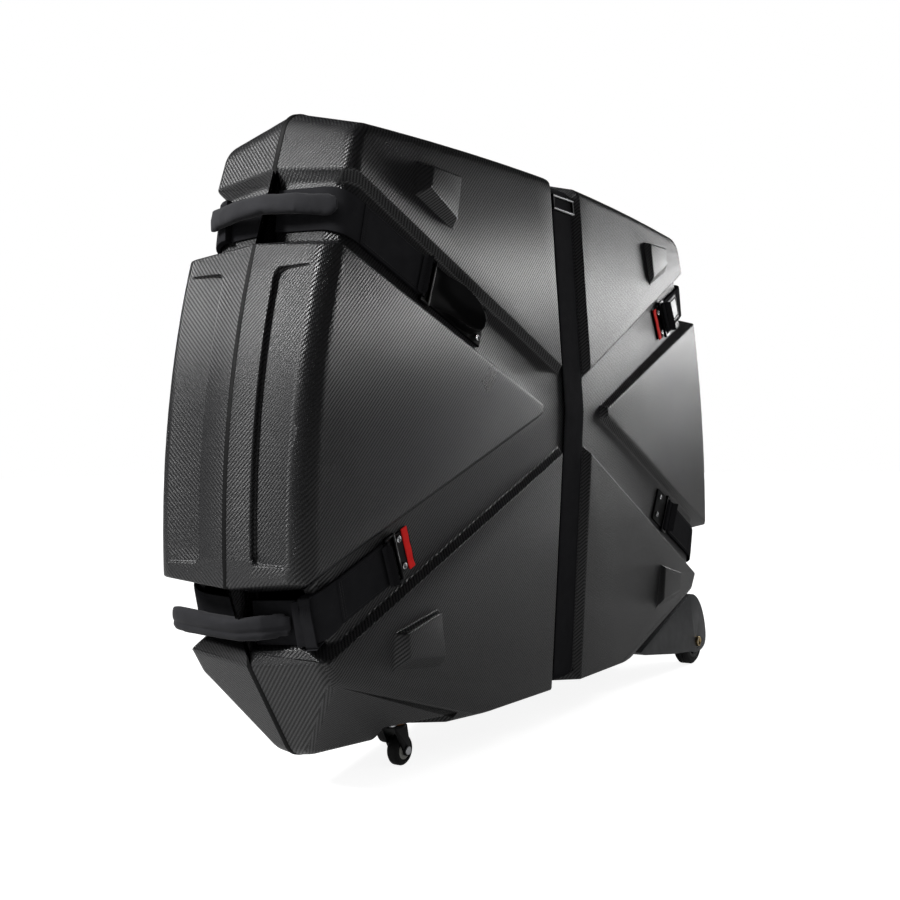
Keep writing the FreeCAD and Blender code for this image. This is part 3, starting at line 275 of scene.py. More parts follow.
# brushed knit over open-cell foam: charcoal, no shine
foamCloth = grained("foamCloth", "#2a2a2d", "#3b3b3f", 0.9, 1.6, 0.3, {
    "Sheen Weight": 0.2, "Specular IOR Level": 0.15})
# ABS, moulded with a fine spark texture: black with a low satin glint on edges
fittingPlastic = grained("fittingPlastic", "#060607", "#0c0c0d", 0.4, 0.7, 0.04, {"Specular IOR Level": 0.06})
# glass-filled nylon, moulded: charcoal with a soft satin
housingPlastic = grained("housingPlastic", "#2c2d2f", "#38393b", 0.44, 0.8, 0.06, {"Specular IOR Level": 0.3})
# the same nylon with more carbon black: near black and a little duller
hubPlastic = grained("hubPlastic", "#0c0c0d", "#151516", 0.5, 0.8, 0.05, {"Specular IOR Level": 0.3})
# polypropylene tube, extruded: dull dark grey
postPlastic = grained("postPlastic", "#2c2c2e", "#3a3a3c", 0.5, 1.0, 0.05)
# nylon 6, natural: warm pale grey, slightly waxy
rollerNylon = grained("rollerNylon", "#9a9a94", "#b5b5ae", 0.45, 0.8, 0.04)
# plasticised PVC film, calendered: clear, seen as a grey satin skin over the dark band
clearVinyl = grained("clearVinyl", "#4a4b4e", "#68696d", 0.42, 6.0, 0.12, {"Specular IOR Level": 0.3})
# steel under black powder coat: a fine orange peel
blackCoat = grained("blackCoat", "#070708", "#0f0f10", 0.38, 0.6, 0.05, {"Specular IOR Level": 0.12})
# black-nickel plated steel bars: dark mirror that only shows its edges
darkNickel = grained("darkNickel", "#0d0d0e", "#1a1a1c", 0.34, 1.2, 0.02, {"Metallic": 1})
# nickel-plated steel, tumbled: bright and soft-edged
platedSteel = grained("platedSteel", "#b9babd", "#d6d7d9", 0.24, 1.2, 0.02, {"Metallic": 1})
# zinc-plated pressed steel: pale and cloudy
zincPlate = grained("zincPlate", "#a8aaad", "#c6c8ca", 0.36, 1.5, 0.03, {"Metallic": 1})
# turned brass, lacquered: a warm dull gold
brassBolt = grained("brassBolt", "#a08a5c", "#c4ae82", 0.28, 0.9, 0.02, {"Metallic": 1})
# greased bearing steel: brown film over metal
bearingSteel = grained("bearingSteel", "#5a3a1c", "#8a5c2c", 0.42, 0.8, 0.04, {"Metallic": 0.6})
# natural rubber with carbon black, moulded: dry dark grey where it rolls
tyreRubber = grained("tyreRubber", "#101011", "#1c1c1d", 0.72, 0.9, 0.08, {"Specular IOR Level": 0.25})
# synthetic rubber, moulded: blacker and a little smoother
rollerRubber = grained("rollerRubber", "#080808", "#111111", 0.6, 0.9, 0.06, {"Specular IOR Level": 0.25})
print("materials ready")

# Shared steps


cadCopy = {"weld": 2e-6, "flat": 0.5}  # metres and degrees


def mergedCopy(node, flatten=0.0):
    bm = bmesh.new()
    bm.from_mesh(nodes[node].data)
    bmesh.ops.remove_doubles(bm, verts=bm.verts, dist=cadCopy["weld"])
    if flatten:
        bmesh.ops.dissolve_limit(bm, angle_limit=math.radians(flatten), verts=bm.verts, edges=bm.edges)
    return bm


def roundOff(bm, geom, offset, steps=2, affect="EDGES", clamp=True):
    bmesh.ops.bevel(bm, geom=geom, offset=offset, offset_type="OFFSET", segments=steps, profile=0.5,
                    affect=affect, clamp_overlap=clamp, loop_slide=not clamp, material=-1)


def islandsOf(items, linked):
    left, islands = set(items), []
    while left:
        stack = [left.pop()]
        island = set(stack)
        while stack:
            for other in linked(stack.pop()):
                if other in left:
                    left.remove(other)
                    island.add(other)
                    stack.append(other)
        islands.append(island)
    return islands


def plainName(node):
    words = node.split("_")
    return words[0] + "".join(word.capitalize() for word in words[1:])


def makePiece(bm, name, body, material, replaced=(), crease=35, bends=None):
    mesh = bpy.data.meshes.new(name)
    bm.to_mesh(mesh)
    bm.free()
    mesh.shade_smooth()
    mesh.set_sharp_from_angle(angle=math.radians(crease))
    mesh.materials.append(material)
    piece = bpy.data.objects.new(name, mesh)
    scene.collection.objects.link(piece)
    if bends:
        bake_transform(piece)
    else:
        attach(piece, body)
    if replaced:
        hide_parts(*replaced)
    return piece


def bodyOf(node):
    return nodes[node]["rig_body"]


# Shell halves: the outer skin's edges are rounded as a moulding's are

shellEdges = {"round": 2.6 * mm, "steps": 3, "sharper": 16, "rimDepth": 4 * mm, "flatten": 0.3}


def outerSkin(bm):
    rim = {f for f in bm.faces
           if abs(f.normal.y) > 0.999 and abs(f.calc_center_median().y) < shellEdges["rimDepth"]}
    islands = islandsOf(set(bm.faces) - rim, lambda face: [f for e in face.edges for f in e.link_faces])
    return max(islands, key=lambda island: max(v.co.z for f in island for v in f.verts))


def laidUv(bm):
    layer = bm.loops.layers.uv.new("laid")
    for face in bm.faces:
        n = [abs(c) for c in face.normal]
        for loop in face.loops:
            x, y, z = loop.vert.co
            if n[1] >= max(n[0], n[2]):
                loop[layer].uv = (x, z)
            elif n[0] >= n[2]:
                loop[layer].uv = (-y, z)
            else:
                loop[layer].uv = (x, y)


def shellHalf(half, material):
    bm = mergedCopy(half + "_shell", shellEdges["flatten"])
    skin = outerSkin(bm)
    limit = math.radians(shellEdges["sharper"])
    sharp = [e for e in bm.edges if skin.issuperset(e.link_faces) and e.calc_face_angle() > limit]
    roundOff(bm, sharp, shellEdges["round"], shellEdges["steps"], clamp=False)
    bmesh.ops.recalc_face_normals(bm, faces=bm.faces)
    laidUv(bm)
    print(half, "shell", len(sharp), "edges rounded,", len(bm.faces), "faces")
    makePiece(bm, half + "Shell", half + "_half", material, [half + "_shell"], crease=30)


shellHalf("near", nearLaminate)
shellHalf("far", farLaminate)

# Seal: the rubber strip stands a little proud of the joint as a bead

sealBead = {"proud": 1.4 * mm, "round": 1.2 * mm, "spread": 1.7, "sharper": 50}


def rubberSeal():
    bm = mergedCopy("rim_seal", cadCopy["flat"])
    middle = sum((v.co for v in bm.verts), Vector()) / len(bm.verts)
    outward = {}
    for face in bm.faces:
        away = face.calc_center_median() - middle
        away.y = 0
        if abs(face.normal.y) < 0.5 and face.normal.dot(away) > 0:
            for vert in face.verts:
                outward[vert] = outward.get(vert, Vector()) + face.normal
    for vert, way in outward.items():
        vert.co += way.normalized() * sealBead["proud"]
        vert.co.y *= sealBead["spread"]
    edges = [e for e in bm.edges if e.calc_face_angle(0) > math.radians(sealBead["sharper"])
             and all(v in outward for v in e.verts)]
    roundOff(bm, edges, sealBead["round"])
    makePiece(bm, "rimSeal", bodyOf("rim_seal"), sealRubber, ["rim_seal"], crease=40)


rubberSeal()
# the post inside keeps its plain solid and only takes its colour
paint = nodes["crush_post"].data.materials
paint.clear()
paint.append(postPlastic)
print("shell and seal")

# Webbing bands follow the four long corners of their solid, from the ring end, with rounded selvedges

bandShape = {
    "step": 4.0 * mm, "columns": 10, "crown": 0.5 * mm, "selvedge": 0.7 * mm,
    "sharper": 48, "edgeSharper": 60,
}


def railLength(rail):
    return sum((b - a).length for a, b in zip(rail, rail[1:]))


def railPoint(rail, share):
    left = railLength(rail) * share
    for a, b in zip(rail, rail[1:]):
        step = (b - a).length
        if left <= step:
            return a.lerp(b, left / step if step else 0)
        left -= step
    return rail[-1].copy()


def bandRails(node):
    bm = mergedCopy(node)
    sharp = {e for e in bm.edges if e.calc_face_angle() > math.radians(bandShape["sharper"])}
    corners = [v for v in bm.verts if sum(e in sharp for e in v.link_edges) == 3]
    rails, used = [], set()
    for corner in corners:
        for first in [e for e in corner.link_edges if e in sharp and e not in used]:
            chain, edge, vert = [corner.co.copy()], first, corner
            while True:
                used.add(edge)
                vert = edge.other_vert(vert)
                chain.append(vert.co.copy())
                if vert in corners:
                    break
                edge = [e for e in vert.link_edges if e in sharp and e is not edge][0]
            rails.append(chain)
    bm.free()
    rails = sorted(rails, key=railLength)[-4:]
    for rail in rails:
        if abs(rail[0].x) > abs(rail[-1].x) or abs(rail[0].x - rail[-1].x) < mm and rail[0].z < rail[-1].z:
            rail.reverse()
    # two outer rails, then the inner one under each
    outerA = rails[-1]
    innerA = min(rails[:-1], key=lambda rail: (rail[0] - outerA[0]).length)
    rest = [rail for rail in rails if rail is not outerA and rail is not innerA]
    return outerA, rest[1], innerA, rest[0]


def bandMesh(rails, run=(0, 1), side=(0, 1), lift=None, thick=0.0, swell=0.0):
    outerA, outerB, innerA, innerB = rails
    span = railLength(outerA) * (run[1] - run[0])
    width = (outerA[0] - outerB[0]).length * (side[1] - side[0])
    bm = bmesh.new()
    rows = max(4, round(span / bandShape["step"]))
    bmesh.ops.create_grid(bm, x_segments=rows, y_segments=bandShape["columns"], size=0.5)
    grown = bmesh.ops.extrude_face_region(bm, geom=list(bm.faces), use_keep_orig=True)
    top = {g for g in grown["geom"] if isinstance(g, bmesh.types.BMVert)}
    layer = bm.loops.layers.uv.new("laid")
    for face in bm.faces:
        for loop in face.loops:
            loop[layer].uv = (loop.vert.co.x * span, loop.vert.co.y * width)
    for vert in bm.verts:
        along, over = vert.co.x, vert.co.y
        s = run[0] + (along + 0.5) * (run[1] - run[0])
        t = side[0] + (over + 0.5) * (side[1] - side[0])
        a = railPoint(outerA, s)
        out = (a - railPoint(innerA, s)).normalized()
        level = a.lerp(railPoint(outerB, s), t)
        if vert in top:
            puff = swell * (1 - 4 * along ** 2) * (1 - 4 * over ** 2)
            vert.co = level + out * ((lift or 0) + thick + puff - bandShape["crown"] * (2 * over) ** 4)
        elif lift is None:
            vert.co = railPoint(innerA, s).lerp(railPoint(innerB, s), t)
        else:
            vert.co = level + out * lift
    bmesh.ops.recalc_face_normals(bm, faces=bm.faces)
    edges = [e for e in bm.edges if e.calc_face_angle(0) > math.radians(bandShape["edgeSharper"])]
    roundOff(bm, edges, bandShape["selvedge"], clamp=False)
    return bm


bandNodes = [n for n in nodes if n.endswith("_strap") or n.endswith("_leg")]
railsOf = {node: bandRails(node) for node in bandNodes}
for node in bandNodes:
    band = bandMesh(railsOf[node])
    makePiece(band, plainName(node), bodyOf(node), nylonWebbing, [node], crease=50)
print("bands", len(bandNodes))

# Each corner strap runs round its ring and doubles back along the side, sewn down in a box of stitches

foldBack = {"thick": 2.0 * mm, "lift": 0.15 * mm, "fromRing": 1.0 * mm, "beforeBend": 3.0 * mm}
stitching = {"pitch": 3.8 * mm, "long": 2.6 * mm, "wide": 0.8 * mm, "high": 0.5 * mm, "inset": 4.0 * mm}
ringLoop = {"bar": 4.0 * mm, "clear": 0.3 * mm, "thick": 1.6 * mm, "round": 1.8 * mm, "width": 52 * mm}


def stitchRow(bm, rails, start, finish, height):
    outerA, outerB, innerA = rails[:3]
    spots = []
    for s, t in (start, finish):
        a = railPoint(outerA, s)
        out = (a - railPoint(innerA, s)).normalized()
        spots.append(a.lerp(railPoint(outerB, s), t) + out * height)
    run = spots[1] - spots[0]
    count = max(2, round(run.length / stitching["pitch"]))
    way = run.normalized()
    turn = Matrix((way, out.cross(way), out)).transposed().to_4x4()
    shape = Matrix.Diagonal((stitching["long"], stitching["wide"], stitching["high"], 1))
    for index in range(count):
        spot = spots[0] + run * ((index + 0.5) / count)
        bmesh.ops.create_cube(bm, size=1, matrix=Matrix.Translation(spot) @ turn @ shape)


def loopBand(place, halfRun, halfRise, width, thick, rounding, name, body):
    loop = bmesh.new()
    bmesh.ops.create_grid(loop, x_segments=1, y_segments=1, size=1)
    bmesh.ops.delete(loop, geom=list(loop.faces), context="FACES_ONLY")
    for vert in loop.verts:
        vert.co = Vector((vert.co.x * halfRun, -width / 2, vert.co.y * halfRise))
    roundOff(loop, list(loop.verts), rounding, 4, "VERTICES")
    grown = bmesh.ops.extrude_edge_only(loop, edges=list(loop.edges))
    verts = [g for g in grown["geom"] if isinstance(g, bmesh.types.BMVert)]
    bmesh.ops.translate(loop, vec=(0, width, 0), verts=verts)
    if sum(f.normal.dot(f.calc_center_median()) for f in loop.faces) < 0:
        bmesh.ops.reverse_faces(loop, faces=loop.faces)
    layer = loop.loops.layers.uv.new("laid")
    for face in loop.faces:
        for corner in face.loops:
            corner[layer].uv = (corner.vert.co.x + corner.vert.co.z, corner.vert.co.y)
    bmesh.ops.solidify(loop, geom=list(loop.faces), thickness=thick)
    bmesh.ops.transform(loop, matrix=place, verts=loop.verts)
    bmesh.ops.recalc_face_normals(loop, faces=loop.faces)
    makePiece(loop, name, body, nylonWebbing, crease=40)


def ringPoints(node):
    kind = node.rsplit("_", 1)[1]
    corner = node[:-len(kind) - 1]
    if kind == "leg":
        source = corner + "_release_ring"
    else:
        source = bodyOf(node).split("_")[0] + "_anchor_rings"
    end = railsOf[node][0][0]
    reach = 2 * ringLoop["width"]
    return [v.co for v in nodes[source].data.vertices if (v.co - end).length < reach]


def foldedEnd(node):
    rails = railsOf[node]
    outerA, outerB, innerA = rails[:3]
    length = railLength(outerA)
    side = (outerA[1] - outerA[0]).length
    name, body = plainName(node), bodyOf(node)
    run = (foldBack["fromRing"] / length, (side - foldBack["beforeBend"]) / length)
    layer = bandMesh(rails, run, (0, 1), foldBack["lift"], foldBack["thick"])
    makePiece(layer, name + "Fold", body, nylonWebbing, crease=50)
    rows = bmesh.new()
    inset, width = stitching["inset"] / length, (outerA[0] - outerB[0]).length
    low, high = stitching["inset"] / width, 1 - stitching["inset"] / width
    height = foldBack["lift"] + foldBack["thick"]
    first, last = run[0] + inset, run[1] - inset
    box = [((first, low), (last, low)), ((first, high), (last, high)), ((first, low), (first, high)),
           ((last, low), (last, high)), ((last - inset, low), (last - inset, high))]
    for start, finish in box:
        stitchRow(rows, rails, start, finish, height)
    makePiece(rows, name + "Stitches", body, nylonThread, crease=30)
    out = (outerA[0] - innerA[0]).normalized()
    way = (outerA[0] - outerA[1]).normalized()
    across = out.cross(way)
    bar = ringPoints(node)
    levels = [p.dot(out) for p in bar]
    middle = (outerA[0] + outerB[0]) / 2 + way * ringLoop["bar"] / 2
    middle += out * ((min(levels) + max(levels)) / 2 - middle.dot(out))
    place = Matrix.Translation(middle) @ Matrix((way, across, out)).transposed().to_4x4()
    half = ringLoop["bar"] / 2 + ringLoop["clear"] + ringLoop["thick"]
    loopBand(place, half, half, ringLoop["width"], ringLoop["thick"], ringLoop["round"], name + "Loop", body)


cornerBands = [n for n in bandNodes if "centre" not in n]
for node in cornerBands:
    foldedEnd(node)
print("folded ends", len(cornerBands))

# A clear window for an address card is welded onto the right-hand strap end

cardWindow = {
    "node": "upper_right_leg", "run": (0.07, 0.5), "side": (0.1, 0.9), "lift": 2.2 * mm,
    "thick": 0.8 * mm, "swell": 2.0 * mm,
}
windowMesh = bandMesh(railsOf[cardWindow["node"]], cardWindow["run"], cardWindow["side"],
                      cardWindow["lift"], cardWindow["thick"], cardWindow["swell"])
makePiece(windowMesh, "cardWindow", bodyOf(cardWindow["node"]), clearVinyl, crease=50)

# a bead of black piping is sewn round the window: each strip is its run and its side
piping = {
    "strips": (((0.1, 0.47), (0.17, 0.22)), ((0.1, 0.47), (0.78, 0.83)), ((0.455, 0.48), (0.17, 0.83))),
    "lift": 2.6 * mm, "thick": 1.6 * mm,
}
for index, (run, side) in enumerate(piping["strips"]):
    strip = bandMesh(railsOf[cardWindow["node"]], run, side, piping["lift"], piping["thick"])
    makePiece(strip, "windowPiping" + "ABC"[index], bodyOf(cardWindow["node"]), sealRubber,
              crease=50)

# Carry handles: cloth over foam, lofted along the strap, blown up by a short cloth run and sewn in
# each station: place along the strap from the anchored side, stand-off, thickness, share of the height

handleForm = {
    "voxel": 3.6 * mm, "shrink": 1.2 * mm, "pressure": 4.0, "frames": 16, "cap": 3.0 * mm,
    "seamDepth": 1.5 * mm, "seamWidth": 2.2 * mm, "seamFacing": 0.2, "sides": 20, "squareness": 0.6,
    "straight": 60 * mm, "slopeStep": 20 * mm, "reach": {"left": 1.0, "right": 0.72},
}
softFinish = {"turns": 2, "ease": 0.5, "fullness": 0.6}
handleRuns = {
    "upper": {
        "shift": 0.5 * mm, "tall": 30 * mm, "seams": (), "bend": (58 * mm, 82 * mm),
        "stations": ((-100, 0.5, 4, 0.5), (-92, 1, 9, 0.95), (-78, 3, 13, 1.0), (-50, 11, 16, 1.0),
                     (0, 13, 17, 1.0), (45, 12, 17, 1.0), (68, 8, 15, 1.0), (84, 5, 13, 1.05),
                     (90, 4, 12, 1.1)),
    },
    "lower": {
        "shift": -1 * mm, "tall": 34 * mm, "seams": (0.40,), "bend": None,
        "stations": ((-106, 12, 12, 0.8), (-98, 12, 16, 0.95), (-80, 13, 17, 1.0), (-50, 14, 17, 1.0),
                     (0, 13, 16, 1.0), (32, 9, 14, 1.0), (50, 1.5, 9, 0.95), (62, 0.5, 5, 0.85)),
    },
}


def strapSpot(rails, y):
    # the middle of the band's face where it crosses the case end, carried on straight past the corners
    def crossing(rail, at):
        for a, b in zip(rail, rail[1:]):
            if min(a.y, b.y) <= at <= max(a.y, b.y) and abs(b.y - a.y) > 1e-6:
                return a.lerp(b, (at - a.y) / (b.y - a.y))
        return min(rail, key=lambda p: abs(p.y - at)).copy()

    limit = handleForm["straight"]
    held = max(-limit, min(limit, y))
    first, second = crossing(rails[0], held), crossing(rails[1], held)
    spot = (first + second) / 2
    if held != y:
        back = held - math.copysign(handleForm["slopeStep"], y)
        before = (crossing(rails[0], back) + crossing(rails[1], back)) / 2
        spot += (spot - before) * ((y - held) / (held - back))
    up = (second - first).normalized()
    if up.z < 0:
        up.negate()
    out = up.cross(Vector((0, 1, 0))).normalized()
    if out.x * spot.x < 0:
        out.negate()
    return spot, out, up


def handleBlank(rails, form, anchorWay, reach):
    bm = bmesh.new()
    rings = []
    for place, standOff, thick, share in form["stations"]:
        spot, out, up = strapSpot(rails, -anchorWay * reach * place * mm)
        made = bmesh.ops.create_circle(bm, cap_ends=False, segments=handleForm["sides"], radius=1)["verts"]
        for vert in made:
            c, s = vert.co.x, vert.co.y
            deep = math.copysign(abs(c) ** handleForm["squareness"], c)
            rise = math.copysign(abs(s) ** handleForm["squareness"], s)
            outwards = (standOff + thick / 2 * (1 + deep)) * mm - handleForm["shrink"] * deep
            upwards = form["shift"] + (form["tall"] / 2 * share - handleForm["shrink"]) * rise
            vert.co = spot + out * outwards + up * upwards
        rings.append(made)
    loops = [[e for e in bm.edges if set(e.verts) <= set(ring)] for ring in rings]
    for before, after in zip(loops, loops[1:]):
        bmesh.ops.bridge_loops(bm, edges=before + after)
    bmesh.ops.holes_fill(bm, edges=loops[0] + loops[-1], sides=0)
    bmesh.ops.recalc_face_normals(bm, faces=bm.faces)
    return bm


def puffed(bm, form):
    mesh = bpy.data.meshes.new("puff")
    bm.to_mesh(mesh)
    bm.free()
    pad = bpy.data.objects.new("puff", mesh)
    scene.collection.objects.link(pad)
    remesh = pad.modifiers.new("remesh", "REMESH")
    remesh.mode = "VOXEL"
    remesh.voxel_size = form["voxel"]
    pad.data = bpy.data.meshes.new_from_object(pad.evaluated_get(bpy.context.evaluated_depsgraph_get()))
    pad.modifiers.clear()
    rest = [v.co.copy() for v in pad.data.vertices]
    cloth = pad.modifiers.new("cloth", "CLOTH")
    cloth.settings.use_pressure = True
    cloth.settings.uniform_pressure_force = form["pressure"]
    cloth.settings.effector_weights.gravity = 0
    for step in range(1, form["frames"] + 1):
        scene.frame_set(step)
    blown = bpy.data.meshes.new_from_object(pad.evaluated_get(bpy.context.evaluated_depsgraph_get()))
    pad.modifiers.clear()
    scene.frame_set(1)
    pad.data = blown
    for vert, start in zip(pad.data.vertices, rest):
        move = vert.co - start
        if move.length > form["cap"]:
            vert.co = start + move * (form["cap"] / move.length)
    soft = bmesh.new()
    soft.from_mesh(pad.data)
    bpy.data.objects.remove(pad)
    for turn in range(softFinish["turns"]):
        bmesh.ops.smooth_vert(soft, verts=soft.verts, factor=softFinish["ease"],
                              use_axis_x=True, use_axis_y=True, use_axis_z=True)
    bmesh.ops.subdivide_edges(soft, edges=soft.edges, cuts=1, use_grid_fill=True,
                              smooth=softFinish["fullness"])
    return soft


def sewnSeam(bm, rails, form):
    # a seam runs along the outer face at its share of the height
    for vert in bm.verts:
        spot, out, up = strapSpot(rails, vert.co.y)
        if vert.normal.dot(out) < handleForm["seamFacing"]:
            continue
        share = 0.5 + ((vert.co - spot).dot(up) - form["shift"]) / form["tall"]
        for seam in form["seams"]:
            gap = (share - seam) * form["tall"] / handleForm["seamWidth"]
            vert.co -= out * (handleForm["seamDepth"] * math.exp(-gap * gap))


for node in [n for n in nodes if n.endswith("_handle")]:
    level, end = node.split("_")[:2]
    corner = level + "_" + end
    rails, form = railsOf[corner + "_strap"], handleRuns[level]
    anchorWay = -1 if bodyOf(node) == "near_half" else 1
    pad = puffed(handleBlank(rails, form, anchorWay, handleForm["reach"][end]), handleForm)
    pad.normal_update()
    sewnSeam(pad, rails, form)
    bends = None
    if form["bend"]:
        ends = [strapSpot(rails, -anchorWay * reach)[0] for reach in form["bend"]]
        bends = (bodyOf(node), corner + "_catch", ends[0], ends[1])
    piece = makePiece(pad, plainName(node), bodyOf(node), handleCloth, [node],
                      crease=60, bends=bends)
print("handles padded")

# A keeper holds the loose end of each lower handle down on its strap

keeper = {
    "width": 15 * mm, "thick": 1.6 * mm, "clear": 0.5 * mm, "round": 2.5 * mm,
    "place": 0.03, "over": 1.5 * mm,
}


def keeperOn(node):
    outerA, outerB, innerA, innerB = railsOf[node]
    s = 1 - keeper["place"] - keeper["width"] / railLength(outerA)
    a, b = railPoint(outerA, s), railPoint(outerB, s)
    inner = (railPoint(innerA, s) + railPoint(innerB, s)) / 2
    outer = (a + b) / 2
    out = (outer - inner).normalized()
    across = (b - a).normalized()
    way = across.cross(out)
    place = Matrix.Translation((outer + inner) / 2) @ Matrix((across, way, out)).transposed().to_4x4()
    grow = keeper["clear"] + keeper["thick"]
    halfRun, halfRise = (b - a).length / 2 + grow, (outer - inner).length / 2 + grow + keeper["over"]
    name = plainName(node) + "Keeper"
    loopBand(place, halfRun, halfRise, keeper["width"], keeper["thick"], keeper["round"], name, bodyOf(node))


for node in ("lower_left_leg", "lower_right_leg"):
    keeperOn(node)

# Hard fittings: a copy of the solid with its corners and edges eased


def eased(bm, rounding, corner=0.0, sharper=30, steps=2):
    if corner:
        broad = max(bm.faces, key=lambda f: f.calc_area()).normal.copy()
        upright = [e for e in bm.edges if e.is_convex and e.calc_face_angle(0) > math.radians(sharper)
                   and abs((e.verts[0].co - e.verts[1].co).normalized().dot(broad)) > 0.99]
        roundOff(bm, upright, corner, 5)
    edges = [e for e in bm.edges
             if e.is_manifold and e.is_convex and e.calc_face_angle(0) > math.radians(sharper)]
    roundOff(bm, edges, rounding, steps)
    return bm


# node ending: material, slot, edge rounding, corner rounding in mm
fittings = {
    "anchor_rings": (darkNickel, "steel", 1.2, 2.5), "release_ring": (darkNickel, "steel", 1.2, 2.5),
    "hook": (blackCoat, "hook", 0.6, 3.0), "left_plate": (fittingPlastic, "fitting", 1.0, 4.0),
    "right_plate": (fittingPlastic, "fitting", 1.0, 4.0), "slider": (darkNickel, "steel", 1.2, 2.0),
    "strap_clips": (blackCoat, "steel", 0.8, 1.5), "rear_housing": (housingPlastic, "housing", 2.2, 0.0),
    "rear_hub": (hubPlastic, "hub", 0.7, 0.0), "caster_plate": (zincPlate, "zinc", 0.6, 7.0),
    "caster_bearing": (bearingSteel, "bearing", 0.8, 0.0), "caster_fork": (blackCoat, "fork", 0.6, 0.0),
    "caster_axle": (platedSteel, "steel", 0.5, 0.0),
}
for node in nodes:
    for ending, (material, slotName, rounding, corner) in fittings.items():
        if node.endswith(ending):
            solid = eased(mergedCopy(node, cadCopy["flat"]), rounding * mm, corner * mm)
            makePiece(solid, plainName(node), bodyOf(node), material, [node])
print("fittings eased")

# Screws and axle bolts have a hexagon socket

socket = {"rim": 0.42, "sides": 6, "ease": 0.5 * mm, "capVerts": 12, "screw": 1.6 * mm, "bolt": 3.0 * mm}


def socketed(bm, face, depth):
    centre, normal = face.calc_center_median(), face.normal.copy()
    radius = max((v.co - centre).length for v in face.verts)
    bmesh.ops.inset_individual(bm, faces=[face], thickness=radius * socket["rim"], depth=0)
    first = (face.verts[0].co - centre).normalized()
    second = normal.cross(first)
    sector = 2 * math.pi / socket["sides"]
    inner = radius * (1 - socket["rim"])
    for vert in face.verts:
        arm = vert.co - centre
        angle = math.atan2(arm.dot(second), arm.dot(first)) % sector - sector / 2
        vert.co = centre + arm.normalized() * (inner * math.cos(sector / 2) / math.cos(angle))
    grown = bmesh.ops.extrude_discrete_faces(bm, faces=[face])
    bmesh.ops.translate(bm, vec=normal * -depth, verts=grown["faces"][0].verts)


def socketHeads(node, material, depth):
    bm = mergedCopy(node, cadCopy["flat"])
    caps = []
    for face in bm.faces:
        spot = face.calc_center_median()
        outward = face.normal.y * spot.y > 0.5 * abs(spot.y) or face.normal.z < -0.9
        if len(face.verts) > socket["capVerts"] and outward:
            caps.append(face)
    reach = max(abs(f.calc_center_median().y) for f in caps)
    if node.endswith("bolt"):
        caps = [f for f in caps if abs(f.calc_center_median().y) > reach - mm]
    rims = [e for f in caps for e in f.edges]
    for face in caps:
        socketed(bm, face, depth)
    roundOff(bm, rims, socket["ease"])
    makePiece(bm, plainName(node), bodyOf(node), material, [node])


for half in ("near", "far"):
    socketHeads(half + "_screws", platedSteel, socket["screw"])
    socketHeads(half + "_axle_bolt", brassBolt, socket["bolt"])
print("screws")

# Seats of flat fittings: the broad face gives the way out, the longest edge the run towards mid-length


def looseParts(bm):
    parts = islandsOf(bm.verts, lambda vert: [v for e in vert.link_edges for v in e.verts])
    return sorted(parts, key=lambda part: min(v.co.x for v in part))


def seatOf(part):
    faces = {f for v in part for f in v.link_faces}
    edges = {e for v in part for e in v.link_edges}
    middle = sum((v.co for v in part), Vector()) / len(part)
    out = max(faces, key=lambda f: f.calc_area()).normal.copy()
    if out.y * middle.y < 0:
        out.negate()
    ways = [(e.verts[1].co - e.verts[0].co, e.calc_length()) for e in edges]
    level = [pair for pair in ways if abs(pair[0].dot(out)) < 0.05 * pair[1]]
    run = max(level, key=lambda pair: pair[1])[0].normalized()
    if run.x * middle.x > 0:
        run.negate()
    axes = (run, out.cross(run), out)
    spans = [(min(v.co.dot(axis) for v in part), max(v.co.dot(axis) for v in part)) for axis in axes]
    levels = ((spans[0][0] + spans[0][1]) / 2, (spans[1][0] + spans[1][1]) / 2, spans[2][0])
    place = sum((axis * level for axis, level in zip(axes, levels)), Vector())
    turn = Matrix(axes).transposed().to_4x4()
    return Matrix.Translation(place) @ turn, [high - low for low, high in spans]


def seatsOf(node):
    solid = mergedCopy(node, cadCopy["flat"])
    seats = [seatOf(part) for part in looseParts(solid)]
    solid.free()
    return seats


# Slider: two bright rods lie across its dark frame

sliderRods = {"radius": 1.7 * mm, "sides": 20, "inset": 2.4 * mm, "short": 3.0 * mm, "sunk": 0.6 * mm}


def rodsOn(node):
    place, (length, width, high) = seatsOf(node)[0]
    bm = bmesh.new()
    lying = Matrix.Rotation(math.pi / 2, 4, "Y")
    for way in (-1, 1):
        spot = Vector((0, way * (width / 2 - sliderRods["inset"]), high - sliderRods["sunk"]))
        bmesh.ops.create_cone(bm, cap_ends=True, segments=sliderRods["sides"], radius1=sliderRods["radius"],
                              radius2=sliderRods["radius"], depth=length - sliderRods["short"],
                              matrix=place @ Matrix.Translation(spot) @ lying)
    makePiece(bm, plainName(node) + "Rods", bodyOf(node), platedSteel)


rodsOn("near_slider")

# Scooped cups: a dish in a plate, open towards the ring, with a raised crest round it

cupForm = {
    "columns": 90, "rows": 52, "base": 3.0 * mm, "crest": 12.0 * mm, "dishStart": 0.30, "dishEnd": 0.60,
    "dishWide": 0.88, "squareness": 2.6, "hollow": 3.0, "wall": 0.12, "edge": 0.8 * mm,
    "rampStart": 0.02, "rampRun": 0.5,
}


def cupRise(u, v):
    power = cupForm["squareness"]
    ahead = max(0.0, (u - cupForm["dishStart"]) / cupForm["dishEnd"])
    ring = (ahead ** power + abs(v / cupForm["dishWide"]) ** power) ** (1 / power)
    ramp = max(0.0, min(1.0, (u - cupForm["rampStart"]) / cupForm["rampRun"]))
    crest = cupForm["crest"] * ramp * ramp * (3 - 2 * ramp)
    if ring < 1:
        return crest * ring ** cupForm["hollow"]
    fall = max(0.0, 1 - (ring - 1) / cupForm["wall"])
    return crest * fall * fall * (3 - 2 * fall)


